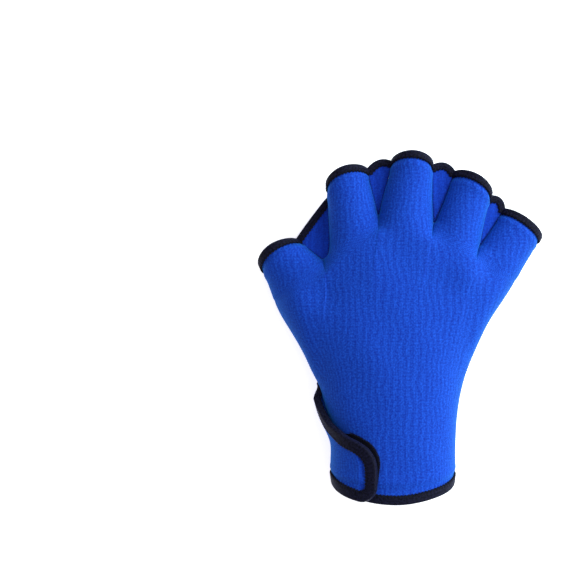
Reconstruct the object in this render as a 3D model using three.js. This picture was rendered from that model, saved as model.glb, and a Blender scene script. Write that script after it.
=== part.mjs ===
// Webbed swim glove for a right hand: a padded cloth body with five short open finger stalls,
// recessed webs between them, bound rims and a wrist tab that closes over the back of the cuff.
// The glove lies palm down on z = 0. The fingers point to +Y and the thumb is on the -X side.
// Lengths are in millimetres and angles in degrees.
import * as THREE from "three";

// The body's cut, seen from above
const CUFF_WIDTH = 67;
const PALM_WIDTH = 140;
const PALM_LENGTH = 153.5;
const HEM_DROP = 12.3;
const PALM_HEM_RISE = 4;

// The body's fullness, seen from the side
const CUFF_DEPTH = 46;
const PALM_DEPTH = 45;
const ARCH_HEIGHT = 25.5;
const ARCH_DROP = 17;
const ARCH_HALF_SPAN = 82;
const FLOOR_PRESS = 3.5;
const FLOOR_ROUND = 1;
const SECTION_POWER = 2.2;

// The finger stalls, with the middle finger's as the one that the others are shares of
const STALL_LENGTH = 30;
const STALL_WIDTH = 22.9;
const STALL_DEPTH = 24;
const RIM_BULGE = 7.8;
const WAIST_POWER = 0.38;

// Cloth, webs and seams
const WALL = 2.2;
const WEB_WALL = 2;
const SEAM_GAP = 0.3;
const WEB_GAP = 0.5;

// Binding tape
const TAPE_WALL = 0.8;
const TAPE_GAP = 0.3;
const RIM_COVER = 3.2;
const WEB_COVER = 3;
const HEM_COVER = 4.3;
const TAB_COVER = 4.7;

// The wrist closure
const PAD_WALL = 1;
const PAD_GAP = 0.25;

const CLOTH_BLUE = 0x1f55dc;
const WEB_BLUE = 0x1a46c4;
const TAPE_NAVY = 0x15142a;
const PAD_BLACK = 0x101018;

// Where the body divides into stalls: shares of the palm's width and length, thumb side first.
const FORKS = [
  { across: -0.518, along: 0.68 },
  { across: -0.321, along: 0.834 },
  { across: -0.0914, along: 1 },
  { across: 0.139, along: 0.97 },
  { across: 0.328, along: 0.881 },
  { across: 0.488, along: 0.757 },
];

// The stalls: shares of the stall sizes, the way that each points and the slant of its rim. The
// waist is how far the thumb-side edge curves in near its foot, as a share of the stalls' width.
const FINGERS = [
  { name: "thumb", length: 0.6, width: 1.13, depth: 1, bulge: 0.97, lean: -37, cut: -38, waist: 0 },
  { name: "index", length: 1.12, width: 1.07, depth: 0.98, bulge: 0.88, lean: -2.7, cut: -22, waist: 0.14 },
  { name: "middle", length: 1.075, width: 1, depth: 1, bulge: 0.79, lean: 6, cut: 5.5, waist: 0 },
  { name: "ring", length: 1, width: 1.07, depth: 0.97, bulge: 0.76, lean: 17, cut: 34, waist: 0 },
  { name: "little", length: 0.885, width: 1.18, depth: 0.93, bulge: 0.48, lean: 32, cut: 38, waist: 0 },
];

// The webs: how far up each neighbouring stall the top edge starts and ends, and its arch as a
// share of the rims' bulge.
const WEBS = [
  { name: "thumb_index", left: 1.04, right: 0.85, arch: 0.17 },
  { name: "index_middle", left: 1, right: 0.97, arch: 0.42 },
  { name: "middle_ring", left: 0.97, right: 1, arch: 0.46 },
  { name: "ring_little", left: 0.99, right: 1, arch: 0.45 },
];

// The side outlines: how much of the widening from cuff to palm each side has made at a level.
const SIDES = [
  { level: 0, thumb: -0.012, little: -0.034 },
  { level: 0.08, thumb: 0.018, little: -0.004 },
  { level: 0.2, thumb: 0.024, little: 0.002 },
  { level: 0.3, thumb: 0.13, little: 0.016 },
  { level: 0.4, thumb: 0.22, little: 0.062 },
  { level: 0.5, thumb: 0.3, little: 0.146 },
  { level: 0.55, thumb: 0.365, little: 0.2 },
  { level: 0.6, thumb: 0.44, little: 0.261 },
  { level: 0.7, thumb: 0.57, little: 0.404 },
  { level: 0.8, thumb: 0.715, little: 0.575 },
  { level: 0.9, thumb: 0.861, little: 0.782 },
  { level: 1, thumb: 1, little: 1 },
];

// The level where the slit beside the tab ends, and the short rise over which its sides meet.
const SLIT = { end: 0.46, ramp: 0.07 };

// The tab's cut edge: its share of the way round the cuff, over the back, at each level.
const TAB_EDGE = [
  { level: 0, turn: 0.35 },
  { level: 0.03, turn: 0.374 },
  { level: 0.08, turn: 0.381 },
  { level: 0.13, turn: 0.374 },
  { level: 0.17, turn: 0.338 },
  { level: 0.2, turn: 0.282 },
  { level: 0.235, turn: 0.2 },
  { level: 0.29, turn: 0.112 },
  { level: 0.38, turn: 0.053 },
  { level: SLIT.end, turn: 0.03 },
];

// The levels where the body starts to change towards the forks and where the hem's form ends, and
// the share of its dip that the hem loses across part of the width.
const STARTS = { stalls: 0.55, arch: 0.6, backSlims: 0.55, palmSlims: 0.75, creases: 0.87 };
const HEM_END = { tape: 0.05, curve: 0.35 };
const HEM_TURN = { loss: 0.35, from: -0.1, to: 0.9 };
const CUFF = { shift: -0.04 };
const RISE_POWER = 1.5;

// The mesh's rows and steps
const LOBE_STEPS = 6;
const BODY_LEVELS = [
  0, 0.04, 0.1, 0.17, 0.235, 0.3, 0.37, 0.45, 0.52, 0.58, 0.64, 0.72, 0.8, 0.87, 0.93, 0.97, 1,
];
const TAB_ROWS = [
  0, 0.03, 0.07, 0.11, 0.145, 0.17, 0.19, 0.21, 0.23, 0.25, 0.27, 0.295, 0.325, 0.355, 0.385, 0.42, SLIT.end,
];
const TAB_STEPS = 10;
const TAB_TAPE = { start: 0.008 };
const LOOP_ROWS = [0.085, 0.12, 0.155, 0.185, 0.215, 0.24];
const LOOP_PEEK = { level: 0.018, turn: 0.014 };
const HOOK_ROWS = [0.055, 0.09, 0.125, 0.15];
const HOOK_INSET = { level: 0.045, turn: 0.055 };
const PATCH = { start: 0.15, steps: 5 };
const WEB_ROWS = [0, 0.3, 0.6, 0.8, 0.9, 1];
const WEB_STEPS = 5;
const WEB_TIP = 0.14;
const STALL_SHARES = [0.1, 0.28, 0.48, 0.68, 0.86, 1];
const DORSAL = 1;
const PALMAR = -1;

const TAPE_REACH = TAPE_GAP + TAPE_WALL;
const TAB_LIFT = 2 * PAD_WALL + 2 * PAD_GAP + SEAM_GAP;

const mix = THREE.MathUtils.lerp;
const ease = THREE.MathUtils.smoothstep;

// A smooth curve through a table's rows, read at x.
function tableAt(table, key, value, x) {
  let i = 0;
  while (i < table.length - 2 && table[i + 1][key] < x) i += 1;
  const at = (k) => table[Math.min(Math.max(k, 0), table.length - 1)];
  const slope = (k) => {
    const a = at(k - 1);
    const b = at(k + 1);
    return (b[value] - a[value]) / (b[key] - a[key]);
  };
  const step = at(i + 1)[key] - at(i)[key];
  const t = (x - at(i)[key]) / step;
  const start = at(i)[value] * (1 + 2 * t) * (1 - t) ** 2 + slope(i) * step * t * (1 - t) ** 2;
  const end = at(i + 1)[value] * t * t * (3 - 2 * t) + slope(i + 1) * step * t * t * (t - 1);
  return start + end;
}

// The height of the glove's middle surface, which arches from the thumb to the little finger.
function archHeight(x) {
  return ARCH_HEIGHT - ARCH_DROP * (x / ARCH_HALF_SPAN) ** 2;
}

function forkPoint(number) {
  const fork = FORKS[number];
  return new THREE.Vector2(fork.across * PALM_WIDTH, fork.along * PALM_LENGTH);
}

// A side's outline below the forks: side -1 is the thumb's, side 1 the little finger's.
function sideLine(side, level) {
  const end = forkPoint(side < 0 ? 0 : FORKS.length - 1);
  const start = (CUFF.shift + side) * (CUFF_WIDTH / 2);
  const widened = tableAt(SIDES, "level", side < 0 ? "thumb" : "little", level);
  return new THREE.Vector2(mix(start, end.x, widened), end.y * level);
}

// Each stall's fork and rim corners, axis and half depth.
function stallOf(number) {
  const finger = FINGERS[number];
  const left = forkPoint(number);
  const right = forkPoint(number + 1);
  const lean = THREE.MathUtils.degToRad(finger.lean);
  const cut = THREE.MathUtils.degToRad(finger.cut);
  const axis = new THREE.Vector3(Math.sin(lean), Math.cos(lean), 0);
  const centre = left.clone().add(right).multiplyScalar(0.5);
  centre.x += axis.x * finger.length * STALL_LENGTH;
  centre.y += axis.y * finger.length * STALL_LENGTH;
  const half = new THREE.Vector2(Math.cos(cut), -Math.sin(cut));
  half.multiplyScalar((finger.width * STALL_WIDTH) / 2);
  return {
    left,
    right,
    rimLeft: centre.clone().sub(half),
    rimRight: centre.clone().add(half),
    out: new THREE.Vector3(Math.sin(cut), Math.cos(cut), 0),
    halfDepth: (finger.depth * STALL_DEPTH) / 2,
    bulge: finger.bulge * RIM_BULGE,
    waist: finger.waist * STALL_WIDTH,
    length: finger.length * STALL_LENGTH,
  };
}

const STALLS = FINGERS.map((finger, number) => stallOf(number));

// A stall's edge on the middle surface: side -1 is its thumb side. Share 0 is the fork.
function stallEdge(number, side, share) {
  const stall = STALLS[number];
  const from = side < 0 ? stall.left : stall.right;
  const to = side < 0 ? stall.rimLeft : stall.rimRight;
  const curve = side < 0 ? Math.sin(Math.PI * Math.min(share, 1) ** WAIST_POWER) : 0;
  const x = mix(from.x, to.x, share) + stall.waist * curve;
  return new THREE.Vector3(x, mix(from.y, to.y, share), archHeight(x));
}

// Presses heights flat where they would pass below a level, with a short rounded run-in.
function pressed(z, level) {
  const above = z - level;
  if (above >= FLOOR_ROUND) return z;
  if (above <= -FLOOR_ROUND) return level;
  return level + (above + FLOOR_ROUND) ** 2 / (4 * FLOOR_ROUND);
}

// The cloth is lifted off the floor at the hem by the tape that wraps it.
function floorLevel(level) {
  return TAPE_REACH * (1 - ease(level, HEM_END.tape, HEM_END.curve));
}

// A point of a stall. Depth is how deep in the wall it lies, 0 at the outer face.
function stallPoint(face, lobe, phi, share, depth) {
  const stall = STALLS[lobe];
  const left = stallEdge(lobe, -1, share);
  const right = stallEdge(lobe, 1, share);
  const half = right.clone().sub(left).multiplyScalar(0.5);
  const across = half.clone().normalize();
  const up = across.clone().cross(stall.out).normalize();
  const point = left.clone().add(right).multiplyScalar(0.5);
  point.addScaledVector(across, -(half.length() - depth) * Math.cos(phi));
  point.addScaledVector(up, face * (stall.halfDepth - depth) * Math.sin(phi));
  point.addScaledVector(stall.out, face * stall.bulge * Math.sin(phi) * ease(share, 0, 1));
  return point;
}

// How round the body's oval section is: its height at w from -1 to 1 as a share of the middle's.
function ovalShare(w) {
  return Math.max(1 - Math.abs(w) ** SECTION_POWER, 0) ** (1 / SECTION_POWER);
}

// A column's place between the side lines: evenly round one oval at the cuff, by stalls at the forks.
function columnShare(lobe, phi, level) {
  const first = forkPoint(0);
  const chord = forkPoint(FORKS.length - 1).x - first.x;
  const within = (1 - Math.cos(phi)) / 2;
  const from = (forkPoint(lobe).x - first.x) / chord;
  const to = (forkPoint(lobe + 1).x - first.x) / chord;
  const even = (1 - Math.cos((Math.PI * (lobe + phi / Math.PI)) / FINGERS.length)) / 2;
  return mix(even, mix(from, to, within), ease(level, STARTS.stalls, 1));
}

// How far the forks lie ahead of a straight line between the two side outlines.
function forkRise(lobe, phi) {
  const first = forkPoint(0);
  const last = forkPoint(FORKS.length - 1);
  const rise = (number) => {
    const fork = forkPoint(number);
    return fork.y - mix(first.y, last.y, (fork.x - first.x) / (last.x - first.x));
  };
  return mix(rise(lobe), rise(lobe + 1), (1 - Math.cos(phi)) / 2);
}

// A point of the body's plain oval, w from -1 at the thumb side to 1, lifted off by a distance.
function ovalPoint(face, w, level, lift) {
  const left = sideLine(-1, level);
  const right = sideLine(1, level);
  const across = right.clone().sub(left);
  const halfWidth = across.length() / 2;
  across.normalize();
  const centre = left.add(right).multiplyScalar(0.5);
  const round = ovalShare(w);
  const halfDepth = mix(CUFF_DEPTH, PALM_DEPTH, ease(level, 0, 1)) / 2;
  const dip = 1 - HEM_TURN.loss * ease(w, HEM_TURN.from, HEM_TURN.to);
  const drop = (face > 0 ? -HEM_DROP : PALM_HEM_RISE) * dip;
  const hem = 1 - Math.min(level / HEM_END.curve, 1);
  const x = centre.x + across.x * w * (halfWidth + lift);
  const y = centre.y + across.y * w * (halfWidth + lift) + drop * round * hem * hem;
  const middle = CUFF_DEPTH / 2 - FLOOR_PRESS + floorLevel(level);
  const mid = mix(middle, archHeight(x), ease(level, STARTS.arch, 1));
  return { x, y, mid, height: (halfDepth + lift) * round };
}

// A point of the body below the forks. Lift moves the whole wall outwards.
function bodyPoint(face, lobe, phi, level, depth, lift) {
  const stall = STALLS[lobe];
  const w = 2 * columnShare(lobe, phi, level) - 1;
  const oval = ovalPoint(face, w, level, lift - depth);
  const last = FINGERS.length - 1;
  const besideSeam = (lobe === 0 && phi < Math.PI / 2) || (lobe === last && phi > Math.PI / 2);
  const hump = (stall.halfDepth - depth) * (besideSeam ? Math.sin(phi) : 1);
  const fold = besideSeam ? 0 : (WALL - depth) * (1 - Math.sin(phi));
  const slim = ease(level, face > 0 ? STARTS.backSlims : STARTS.palmSlims, 1);
  const smooth = mix(oval.height, hump, slim);
  const creased = (stall.halfDepth - depth) * Math.sin(phi) + fold;
  const height = mix(smooth, creased, ease(level, STARTS.creases, 1));
  const y = oval.y + forkRise(lobe, phi) * Math.max(level, 0) ** RISE_POWER;
  return new THREE.Vector3(oval.x, y, oval.mid + face * height);
}

// How far the palm panel stands off the back panel along the open slit at the thumb side.
function slitLift(lobe, phi, level) {
  const open = 1 - ease(level, SLIT.end, SLIT.end + SLIT.ramp);
  const w = 2 * columnShare(lobe, phi, level) - 1;
  return (WALL + TAB_LIFT) * open * (1 - ease(w, -1, 0));
}

// A point of either panel: level 0 is the hem, 1 the forks and 2 the rims.
function panelPoint(face, lobe, phi, level, depth) {
  const lift = face > 0 || level > 1 ? 0 : slitLift(lobe, phi, level);
  const point =
    level > 1
      ? stallPoint(face, lobe, phi, level - 1, depth)
      : bodyPoint(face, lobe, phi, level, depth, lift);
  if (face < 0) point.z = pressed(point.z, (level > 1 ? 0 : floorLevel(level)) + depth);
  point.z += (face * SEAM_GAP) / 2;
  return point;
}

// Builds a closed wall between two matching sheets of points. Faces are four-cornered, turned
// anticlockwise as seen from outside, and each open edge is closed between the sheets.
function wallGeometry(outer, inner, faces) {
  const count = outer.length;
  const positions = [...outer, ...inner].flatMap((p) => [p.x, p.y, p.z]);
  const index = [];
  const quad = (a, b, c, d) => index.push(a, b, c, a, c, d);
  const edges = new Set();
  for (const face of faces) {
    face.forEach((a, i) => edges.add(a + ">" + face[(i + 1) % face.length]));
  }
  for (const [a, b, c, d] of faces) {
    quad(a, b, c, d);
    quad(a + count, d + count, c + count, b + count);
  }
  for (const edge of edges) {
    const [a, b] = edge.split(">").map(Number);
    if (!edges.has(b + ">" + a)) quad(b, a, a + count, b + count);
  }
  const geometry = new THREE.BufferGeometry();
  geometry.setAttribute("position", new THREE.Float32BufferAttribute(positions, 3));
  geometry.setIndex(index);
  geometry.computeVertexNormals();
  return geometry;
}

// Faces of a plain grid of points stored row by row.
function gridFaces(rows, columns) {
  const faces = [];
  for (let r = 0; r < rows; r += 1) {
    for (let c = 0; c < columns; c += 1) {
      const a = r * (columns + 1) + c;
      faces.push([a, a + 1, a + columns + 2, a + columns + 1]);
    }
  }
  return faces;
}

// One whole panel, back or palm, slit from each fork to the rims.
function panelGeometry(face) {
  const levels = [...BODY_LEVELS, ...STALL_SHARES.map((share) => 1 + share)];
  const numbers = new Map();
  const outer = [];
  const inner = [];
  const number = (row, lobe, step) => {
    const shared = levels[row] <= 1 && step === LOBE_STEPS && lobe < FINGERS.length - 1;
    const key = shared ? [row, lobe + 1, 0].join() : [row, lobe, step].join();
    if (!numbers.has(key)) {
      const phi = (Math.PI * step) / LOBE_STEPS;
      numbers.set(key, outer.length);
      outer.push(panelPoint(face, lobe, phi, levels[row], 0));
      inner.push(panelPoint(face, lobe, phi, levels[row], WALL));
    }
    return numbers.get(key);
  };
  const faces = [];
  for (let row = 0; row < levels.length - 1; row += 1) {
    for (let lobe = 0; lobe < FINGERS.length; lobe += 1) {
      for (let step = 0; step < LOBE_STEPS; step += 1) {
        const corners = [
          number(row, lobe, step),
          number(row, lobe, step + 1),
          number(row + 1, lobe, step + 1),
          number(row + 1, lobe, step),
        ];
        faces.push(face > 0 ? corners : corners.reverse());
      }
    }
  }
  return wallGeometry(outer, inner, faces);
}

// The cloth sheets below are read by functions of two shares along the cloth and a depth in it.
function rimSheet(lobe) {
  return (phi, level, depth) =>
    phi <= Math.PI
      ? panelPoint(DORSAL, lobe, phi, level, depth)
      : panelPoint(PALMAR, lobe, 2 * Math.PI - phi, level, depth);
}

// A share of the way round a panel as the stall column that it falls in.
function columnOf(turn) {
  const lobe = Math.min(Math.max(Math.floor(turn * FINGERS.length), 0), FINGERS.length - 1);
  return { lobe, phi: (turn * FINGERS.length - lobe) * Math.PI };
}

// The cuff: turn 0 to 1 runs over the back from the thumb side, 1 to 2 returns across the palm.
function cuffSheet(turn, level, depth) {
  const { lobe, phi } = columnOf(turn <= 1 ? turn : 2 - turn);
  return panelPoint(turn <= 1 ? DORSAL : PALMAR, lobe, phi, level, depth);
}

// A layer that lies over the back of the cuff, its inner face held off by a distance.
function overlaySheet(lift, wall) {
  return (turn, level, depth) => {
    const { lobe, phi } = columnOf(turn);
    const point = bodyPoint(DORSAL, lobe, phi, level, 0, lift + wall - depth);
    point.z += SEAM_GAP / 2;
    return point;
  };
}

// How far up its two stalls a web's row lies, row 0 at the fork and 1 at the top edge.
function webShares(number, row) {
  const web = WEBS[number];
  return { left: mix(WEB_TIP, web.left, row), right: mix(WEB_TIP, web.right, row) };
}

// A web's clearance to a stall: more beside the rim, where the stall wears its tape.
function webClearance(lobe, share) {
  const toRim = (1 - share) * STALLS[lobe].length;
  return WEB_GAP + (TAPE_REACH + TAPE_GAP) * (1 - ease(toRim, RIM_COVER + TAPE_REACH, 2 * RIM_COVER));
}

function webSheet(number) {
  return (u, row, depth) => {
    const shares = webShares(number, row);
    const left = stallEdge(number, 1, shares.left);
    const right = stallEdge(number + 1, -1, shares.right);
    const across = right.clone().sub(left);
    const width = across.length();
    across.normalize();
    const forward = STALLS[number].out.clone().add(STALLS[number + 1].out).normalize();
    const up = across.clone().cross(forward).normalize();
    const start = webClearance(number, shares.left);
    const end = width - webClearance(number + 1, shares.right);
    const point = left.addScaledVector(across, mix(start, end, u));
    point.addScaledVector(forward, WEBS[number].arch * RIM_BULGE * 4 * u * (1 - u) * row * row);
    return point.addScaledVector(up, WEB_WALL / 2 - depth);
  };
}

// The place on a sheet that lies a distance in from its edge path, square to the path.
function stepInward(sheet, wall, place, ahead, distance) {
  const nudge = 1e-3;
  const at = (a, b) => sheet(a, b, wall / 2);
  const here = at(place[0], place[1]);
  const alongA = at(place[0] + nudge, place[1]).sub(here).divideScalar(nudge);
  const alongB = at(place[0], place[1] + nudge).sub(here).divideScalar(nudge);
  const path = alongA.clone().multiplyScalar(ahead[0]).addScaledVector(alongB, ahead[1]);
  const inward = alongA.clone().cross(alongB).cross(path).setLength(distance);
  const aa = alongA.dot(alongA);
  const ab = alongA.dot(alongB);
  const bb = alongB.dot(alongB);
  const scale = 1 / (aa * bb - ab * ab);
  const a = inward.dot(alongA);
  const b = inward.dot(alongB);
  return [place[0] + (bb * a - ab * b) * scale, place[1] + (aa * b - ab * a) * scale];
}

// The places a distance in from each place of an edge path. The path runs with the cloth on its
// left as seen from outside.
function squareInset(sheet, wall, distance, path) {
  return path.map((place, i) => {
    const next = path[Math.min(i + 1, path.length - 1)];
    const last = path[Math.max(i - 1, 0)];
    return stepInward(sheet, wall, place, [next[0] - last[0], next[1] - last[1]], distance);
  });
}

// Triangles that close a tape's end, found on its section drawn flat, with the corners in the
// order that tapeSection gives them.
function endTriangles(wall, cover) {
  const outer = wall / 2 + TAPE_REACH;
  const inner = wall / 2 + TAPE_GAP;
  const flat = [
    [-cover, outer],
    [0, outer],
    [TAPE_REACH, wall / 2],
    [TAPE_REACH, -wall / 2],
    [0, -outer],
    [-cover, -outer],
    [-cover, -inner],
    [TAPE_GAP, -inner],
    [TAPE_GAP, inner],
    [-cover, inner],
  ].map(([x, y]) => new THREE.Vector2(x, y));
  return THREE.ShapeUtils.triangulateShape(flat, []).map(([a, b, c]) => {
    const turn = flat[b].clone().sub(flat[a]).cross(flat[c].clone().sub(flat[a]));
    return turn < 0 ? [a, b, c] : [a, c, b];
  });
}

// Folded tape round a cut edge, between the edge path and the places under the tape's free edges.
function tapeGeometry(sheet, wall, path, insets, cover, closed) {
  const count = path.length;
  const stations = path.map((place, i) => tapeSection(sheet, wall, place, insets[i]));
  const points = stations.flat();
  const index = [];
  const size = stations[0].length;
  const spans = closed ? count : count - 1;
  for (let i = 0; i < spans; i += 1) {
    for (let k = 0; k < size; k += 1) {
      const a = i * size + k;
      const b = i * size + ((k + 1) % size);
      const c = ((i + 1) % count) * size + ((k + 1) % size);
      const d = ((i + 1) % count) * size + k;
      index.push(a, b, c, a, c, d);
    }
  }
  if (!closed) {
    const lastStation = (count - 1) * size;
    for (const [a, b, c] of endTriangles(wall, cover)) {
      index.push(a, c, b);
      index.push(lastStation + a, lastStation + b, lastStation + c);
    }
  }
  return outwardGeometry(points, index);
}

// The ten corners of the folded tape at one place of the edge.
function tapeSection(sheet, wall, place, back) {
  const edgeOut = sheet(place[0], place[1], 0);
  const edgeIn = sheet(place[0], place[1], wall);
  const backOut = sheet(back[0], back[1], 0);
  const backIn = sheet(back[0], back[1], wall);
  const normal = edgeOut.clone().sub(edgeIn).normalize();
  const backNormal = backOut.clone().sub(backIn).normalize();
  const away = edgeOut.clone().add(edgeIn).sub(backOut).sub(backIn).normalize();
  const corner = (base, direction, distance, outward) =>
    base.clone().addScaledVector(direction, distance).addScaledVector(away, outward);
  return [
    corner(backOut, backNormal, TAPE_REACH, 0),
    corner(edgeOut, normal, TAPE_REACH, 0),
    corner(edgeOut, normal, 0, TAPE_REACH),
    corner(edgeIn, normal, 0, TAPE_REACH),
    corner(edgeIn, normal, -TAPE_REACH, 0),
    corner(backIn, backNormal, -TAPE_REACH, 0),
    corner(backIn, backNormal, -TAPE_GAP, 0),
    corner(edgeIn, normal, -TAPE_GAP, TAPE_GAP),
    corner(edgeOut, normal, TAPE_GAP, TAPE_GAP),
    corner(backOut, backNormal, TAPE_GAP, 0),
  ];
}

// A closed mesh with its faces turned outwards.
function outwardGeometry(points, index) {
  let volume = 0;
  for (let k = 0; k < index.length; k += 3) {
    const [a, b, c] = [points[index[k]], points[index[k + 1]], points[index[k + 2]]];
    volume += a.dot(b.clone().cross(c));
  }
  if (volume < 0) index.reverse();
  const geometry = new THREE.BufferGeometry();
  const positions = points.flatMap((p) => [p.x, p.y, p.z]);
  geometry.setAttribute("position", new THREE.Float32BufferAttribute(positions, 3));
  geometry.setIndex(index);
  geometry.computeVertexNormals();
  return geometry;
}

// A piece of sheet cloth between rows of places, each row with the same number of places.
function patchGeometry(sheet, wall, rows) {
  const outer = rows.flatMap((row) => row.map((place) => sheet(place[0], place[1], 0)));
  const inner = rows.flatMap((row) => row.map((place) => sheet(place[0], place[1], wall)));
  return wallGeometry(outer, inner, gridFaces(rows.length - 1, rows[0].length - 1));
}

// Rows of places between a start and an end turn that change with the level.
function turnRows(levels, steps, startTurn, endTurn) {
  return levels.map((level) => {
    const start = startTurn(level);
    const end = endTurn(level);
    return Array.from({ length: steps + 1 }, (_, i) => [mix(start, end, i / steps), level]);
  });
}

function tabTurn(level) {
  return tableAt(TAB_EDGE, "level", "turn", level);
}

// The loop patch follows the tab's edge and peeks out past its tape.
function loopTurn(level) {
  return tabTurn(level - LOOP_PEEK.level) + LOOP_PEEK.turn;
}

// The hook patch follows the same edge inside the tape.
function hookTurn(level) {
  return tabTurn(level + HOOK_INSET.level) - HOOK_INSET.turn;
}

// The taped part of the tab's outline: along the hem, then up its free edge to the slit.
function tabPath() {
  const hem = evenly(TAB_STEPS, TAB_TAPE.start, tabTurn(0)).map((turn) => [turn, 0]);
  const free = TAB_ROWS.slice(1).map((level) => [tabTurn(level), level]);
  return [...hem, ...free];
}

const evenly = (count, from, to) =>
  Array.from({ length: count + 1 }, (_, i) => mix(from, to, i / count));

function rimTape(lobe) {
  const count = 2 * LOBE_STEPS;
  const path = evenly(count, 2 * Math.PI, 0).slice(0, count).map((phi) => [phi, 2]);
  const insets = path.map(([phi, level]) => [phi, level - RIM_COVER / STALLS[lobe].length]);
  return tapeGeometry(rimSheet(lobe), WALL, path, insets, RIM_COVER, true);
}

// The tape on a web's top edge runs square to the web's rows, between its two stalls.
function webTape(sheet) {
  const path = evenly(WEB_STEPS, 1, 0).map((u) => [u, 1]);
  const half = 0.5;
  const length = sheet(half, 1, 0).distanceTo(sheet(half, half, 0)) / half;
  const insets = path.map(([u, row]) => [u, row - WEB_COVER / length]);
  return tapeGeometry(sheet, WEB_WALL, path, insets, WEB_COVER, false);
}

function openTape(sheet, cover, path) {
  const insets = squareInset(sheet, WALL, cover, path);
  return tapeGeometry(sheet, WALL, path, insets, cover, false);
}

const glove = new THREE.Group();
const cloth = { roughness: 0.85, metalness: 0 };

function addPart(name, geometry, color) {
  const mesh = new THREE.Mesh(geometry, new THREE.MeshStandardMaterial({ color, ...cloth }));
  mesh.name = name;
  glove.add(mesh);
}

addPart("back_panel", panelGeometry(DORSAL), CLOTH_BLUE);
addPart("palm_panel", panelGeometry(PALMAR), CLOTH_BLUE);

WEBS.forEach((web, number) => {
  const sheet = webSheet(number);
  const rows = WEB_ROWS.map((row) => evenly(WEB_STEPS, 0, 1).map((u) => [u, row]));
  addPart("web_" + web.name, patchGeometry(sheet, WEB_WALL, rows), WEB_BLUE);
  addPart("web_tape_" + web.name, webTape(sheet), TAPE_NAVY);
});

FINGERS.forEach((finger, lobe) => addPart("rim_tape_" + finger.name, rimTape(lobe), TAPE_NAVY));

const hem = evenly(2 * FINGERS.length * LOBE_STEPS, 0, 2).map((turn) => [turn, 0]);
addPart("cuff_tape", openTape(cuffSheet, HEM_COVER, hem), TAPE_NAVY);

const tabSheet = overlaySheet(TAB_LIFT, WALL);
const tabRows = turnRows(TAB_ROWS, TAB_STEPS, () => 0, tabTurn);
addPart("closure_tab", patchGeometry(tabSheet, WALL, tabRows), CLOTH_BLUE);
addPart("tab_tape", openTape(tabSheet, TAB_COVER, tabPath()), TAPE_NAVY);

const loopRows = turnRows(LOOP_ROWS, PATCH.steps, () => PATCH.start, loopTurn);
addPart("loop_patch", patchGeometry(overlaySheet(PAD_GAP, PAD_WALL), PAD_WALL, loopRows), PAD_BLACK);
const hookSheet = overlaySheet(TAB_LIFT - PAD_GAP - PAD_WALL, PAD_WALL);
const hookRows = turnRows(HOOK_ROWS, PATCH.steps, () => PATCH.start, hookTurn);
addPart("hook_patch", patchGeometry(hookSheet, PAD_WALL, hookRows), PAD_BLACK);

const box = new THREE.Box3().setFromObject(glove);
glove.position.set(-(box.min.x + box.max.x) / 2, -(box.min.y + box.max.y) / 2, -box.min.z);

export default glove;
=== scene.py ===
# %% [markdown]
# # A webbed swim glove
#
# A swim glove is a tight tube of knit-faced neoprene with five open finger stalls. Thin webs of the same
# cloth fill the gaps between the stalls, dark stretch tape binds every cut edge, and a tab with hook and loop
# fabric closes the wrist.
#
# The glove could be sculpted by hand or inflated with a cloth simulation. Here every piece is worked out from
# one formula for the surface of the hand, because cloth, webs, tapes and stitches then follow the same curves
# and meet where they are sewn. Lengths are in millimetres until a mesh is made. The glove lies palm down, its
# fingers point to +Y and its thumb is on the -X side.

# %% Load the fixed frame
import math
import bpy
import numpy as np
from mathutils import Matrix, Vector


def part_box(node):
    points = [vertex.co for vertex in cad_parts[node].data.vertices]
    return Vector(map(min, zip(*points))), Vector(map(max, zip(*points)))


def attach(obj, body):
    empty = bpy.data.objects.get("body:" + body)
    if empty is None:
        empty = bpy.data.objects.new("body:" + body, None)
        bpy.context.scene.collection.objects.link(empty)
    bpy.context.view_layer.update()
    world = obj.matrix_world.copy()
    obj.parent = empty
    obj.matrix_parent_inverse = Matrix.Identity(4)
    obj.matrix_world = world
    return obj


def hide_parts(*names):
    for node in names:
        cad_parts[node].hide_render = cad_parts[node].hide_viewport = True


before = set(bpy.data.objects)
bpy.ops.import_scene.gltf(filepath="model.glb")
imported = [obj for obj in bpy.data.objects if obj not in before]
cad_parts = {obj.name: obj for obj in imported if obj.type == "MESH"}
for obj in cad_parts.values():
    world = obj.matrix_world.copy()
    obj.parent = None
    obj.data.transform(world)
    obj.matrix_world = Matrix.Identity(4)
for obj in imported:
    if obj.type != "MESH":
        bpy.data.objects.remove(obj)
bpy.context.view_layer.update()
MM = 0.001

# %% [markdown]
# ## Camera
#
# The picture looks straight down on the glove, with the fingers up. A long lens keeps the outline close to
# the true plan. The camera hangs over the middle of the picture, and the glove lies right of it and a little
# below.

# %% Hang the camera over the picture's middle
PICTURE = 573
MM_PER_PIXEL = 0.581
GLOVE_PIXEL = (401, 326.7)
LENS = 135
SENSOR = 36
GLOVE_MIDDLE_HEIGHT = 24

camera_data = bpy.data.cameras.new("camera")
camera_data.lens = LENS
camera_data.sensor_width = SENSOR
camera = bpy.data.objects.new("camera", camera_data)
bpy.context.scene.collection.objects.link(camera)
distance = PICTURE * MM_PER_PIXEL * LENS / SENSOR
camera.location = (
    (PICTURE / 2 - GLOVE_PIXEL[0]) * MM_PER_PIXEL * MM,
    (GLOVE_PIXEL[1] - PICTURE / 2) * MM_PER_PIXEL * MM,
    (GLOVE_MIDDLE_HEIGHT + distance) * MM,
)
bpy.context.scene.camera = camera
print("camera at", [round(v, 3) for v in camera.location], "m, looking straight down")

# %% [markdown]
# ## The sizes of the glove
#
# These are the sizes that the solids are cut to, with a few finer touches: the rim and tab tapes cover a
# little more, the hem runs less askew, and the thumb web's top is straighter. The forks are the places where
# the body divides into stalls. Each stall is an oval tube that leans its own way, and its rim has its own
# slant.

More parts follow.
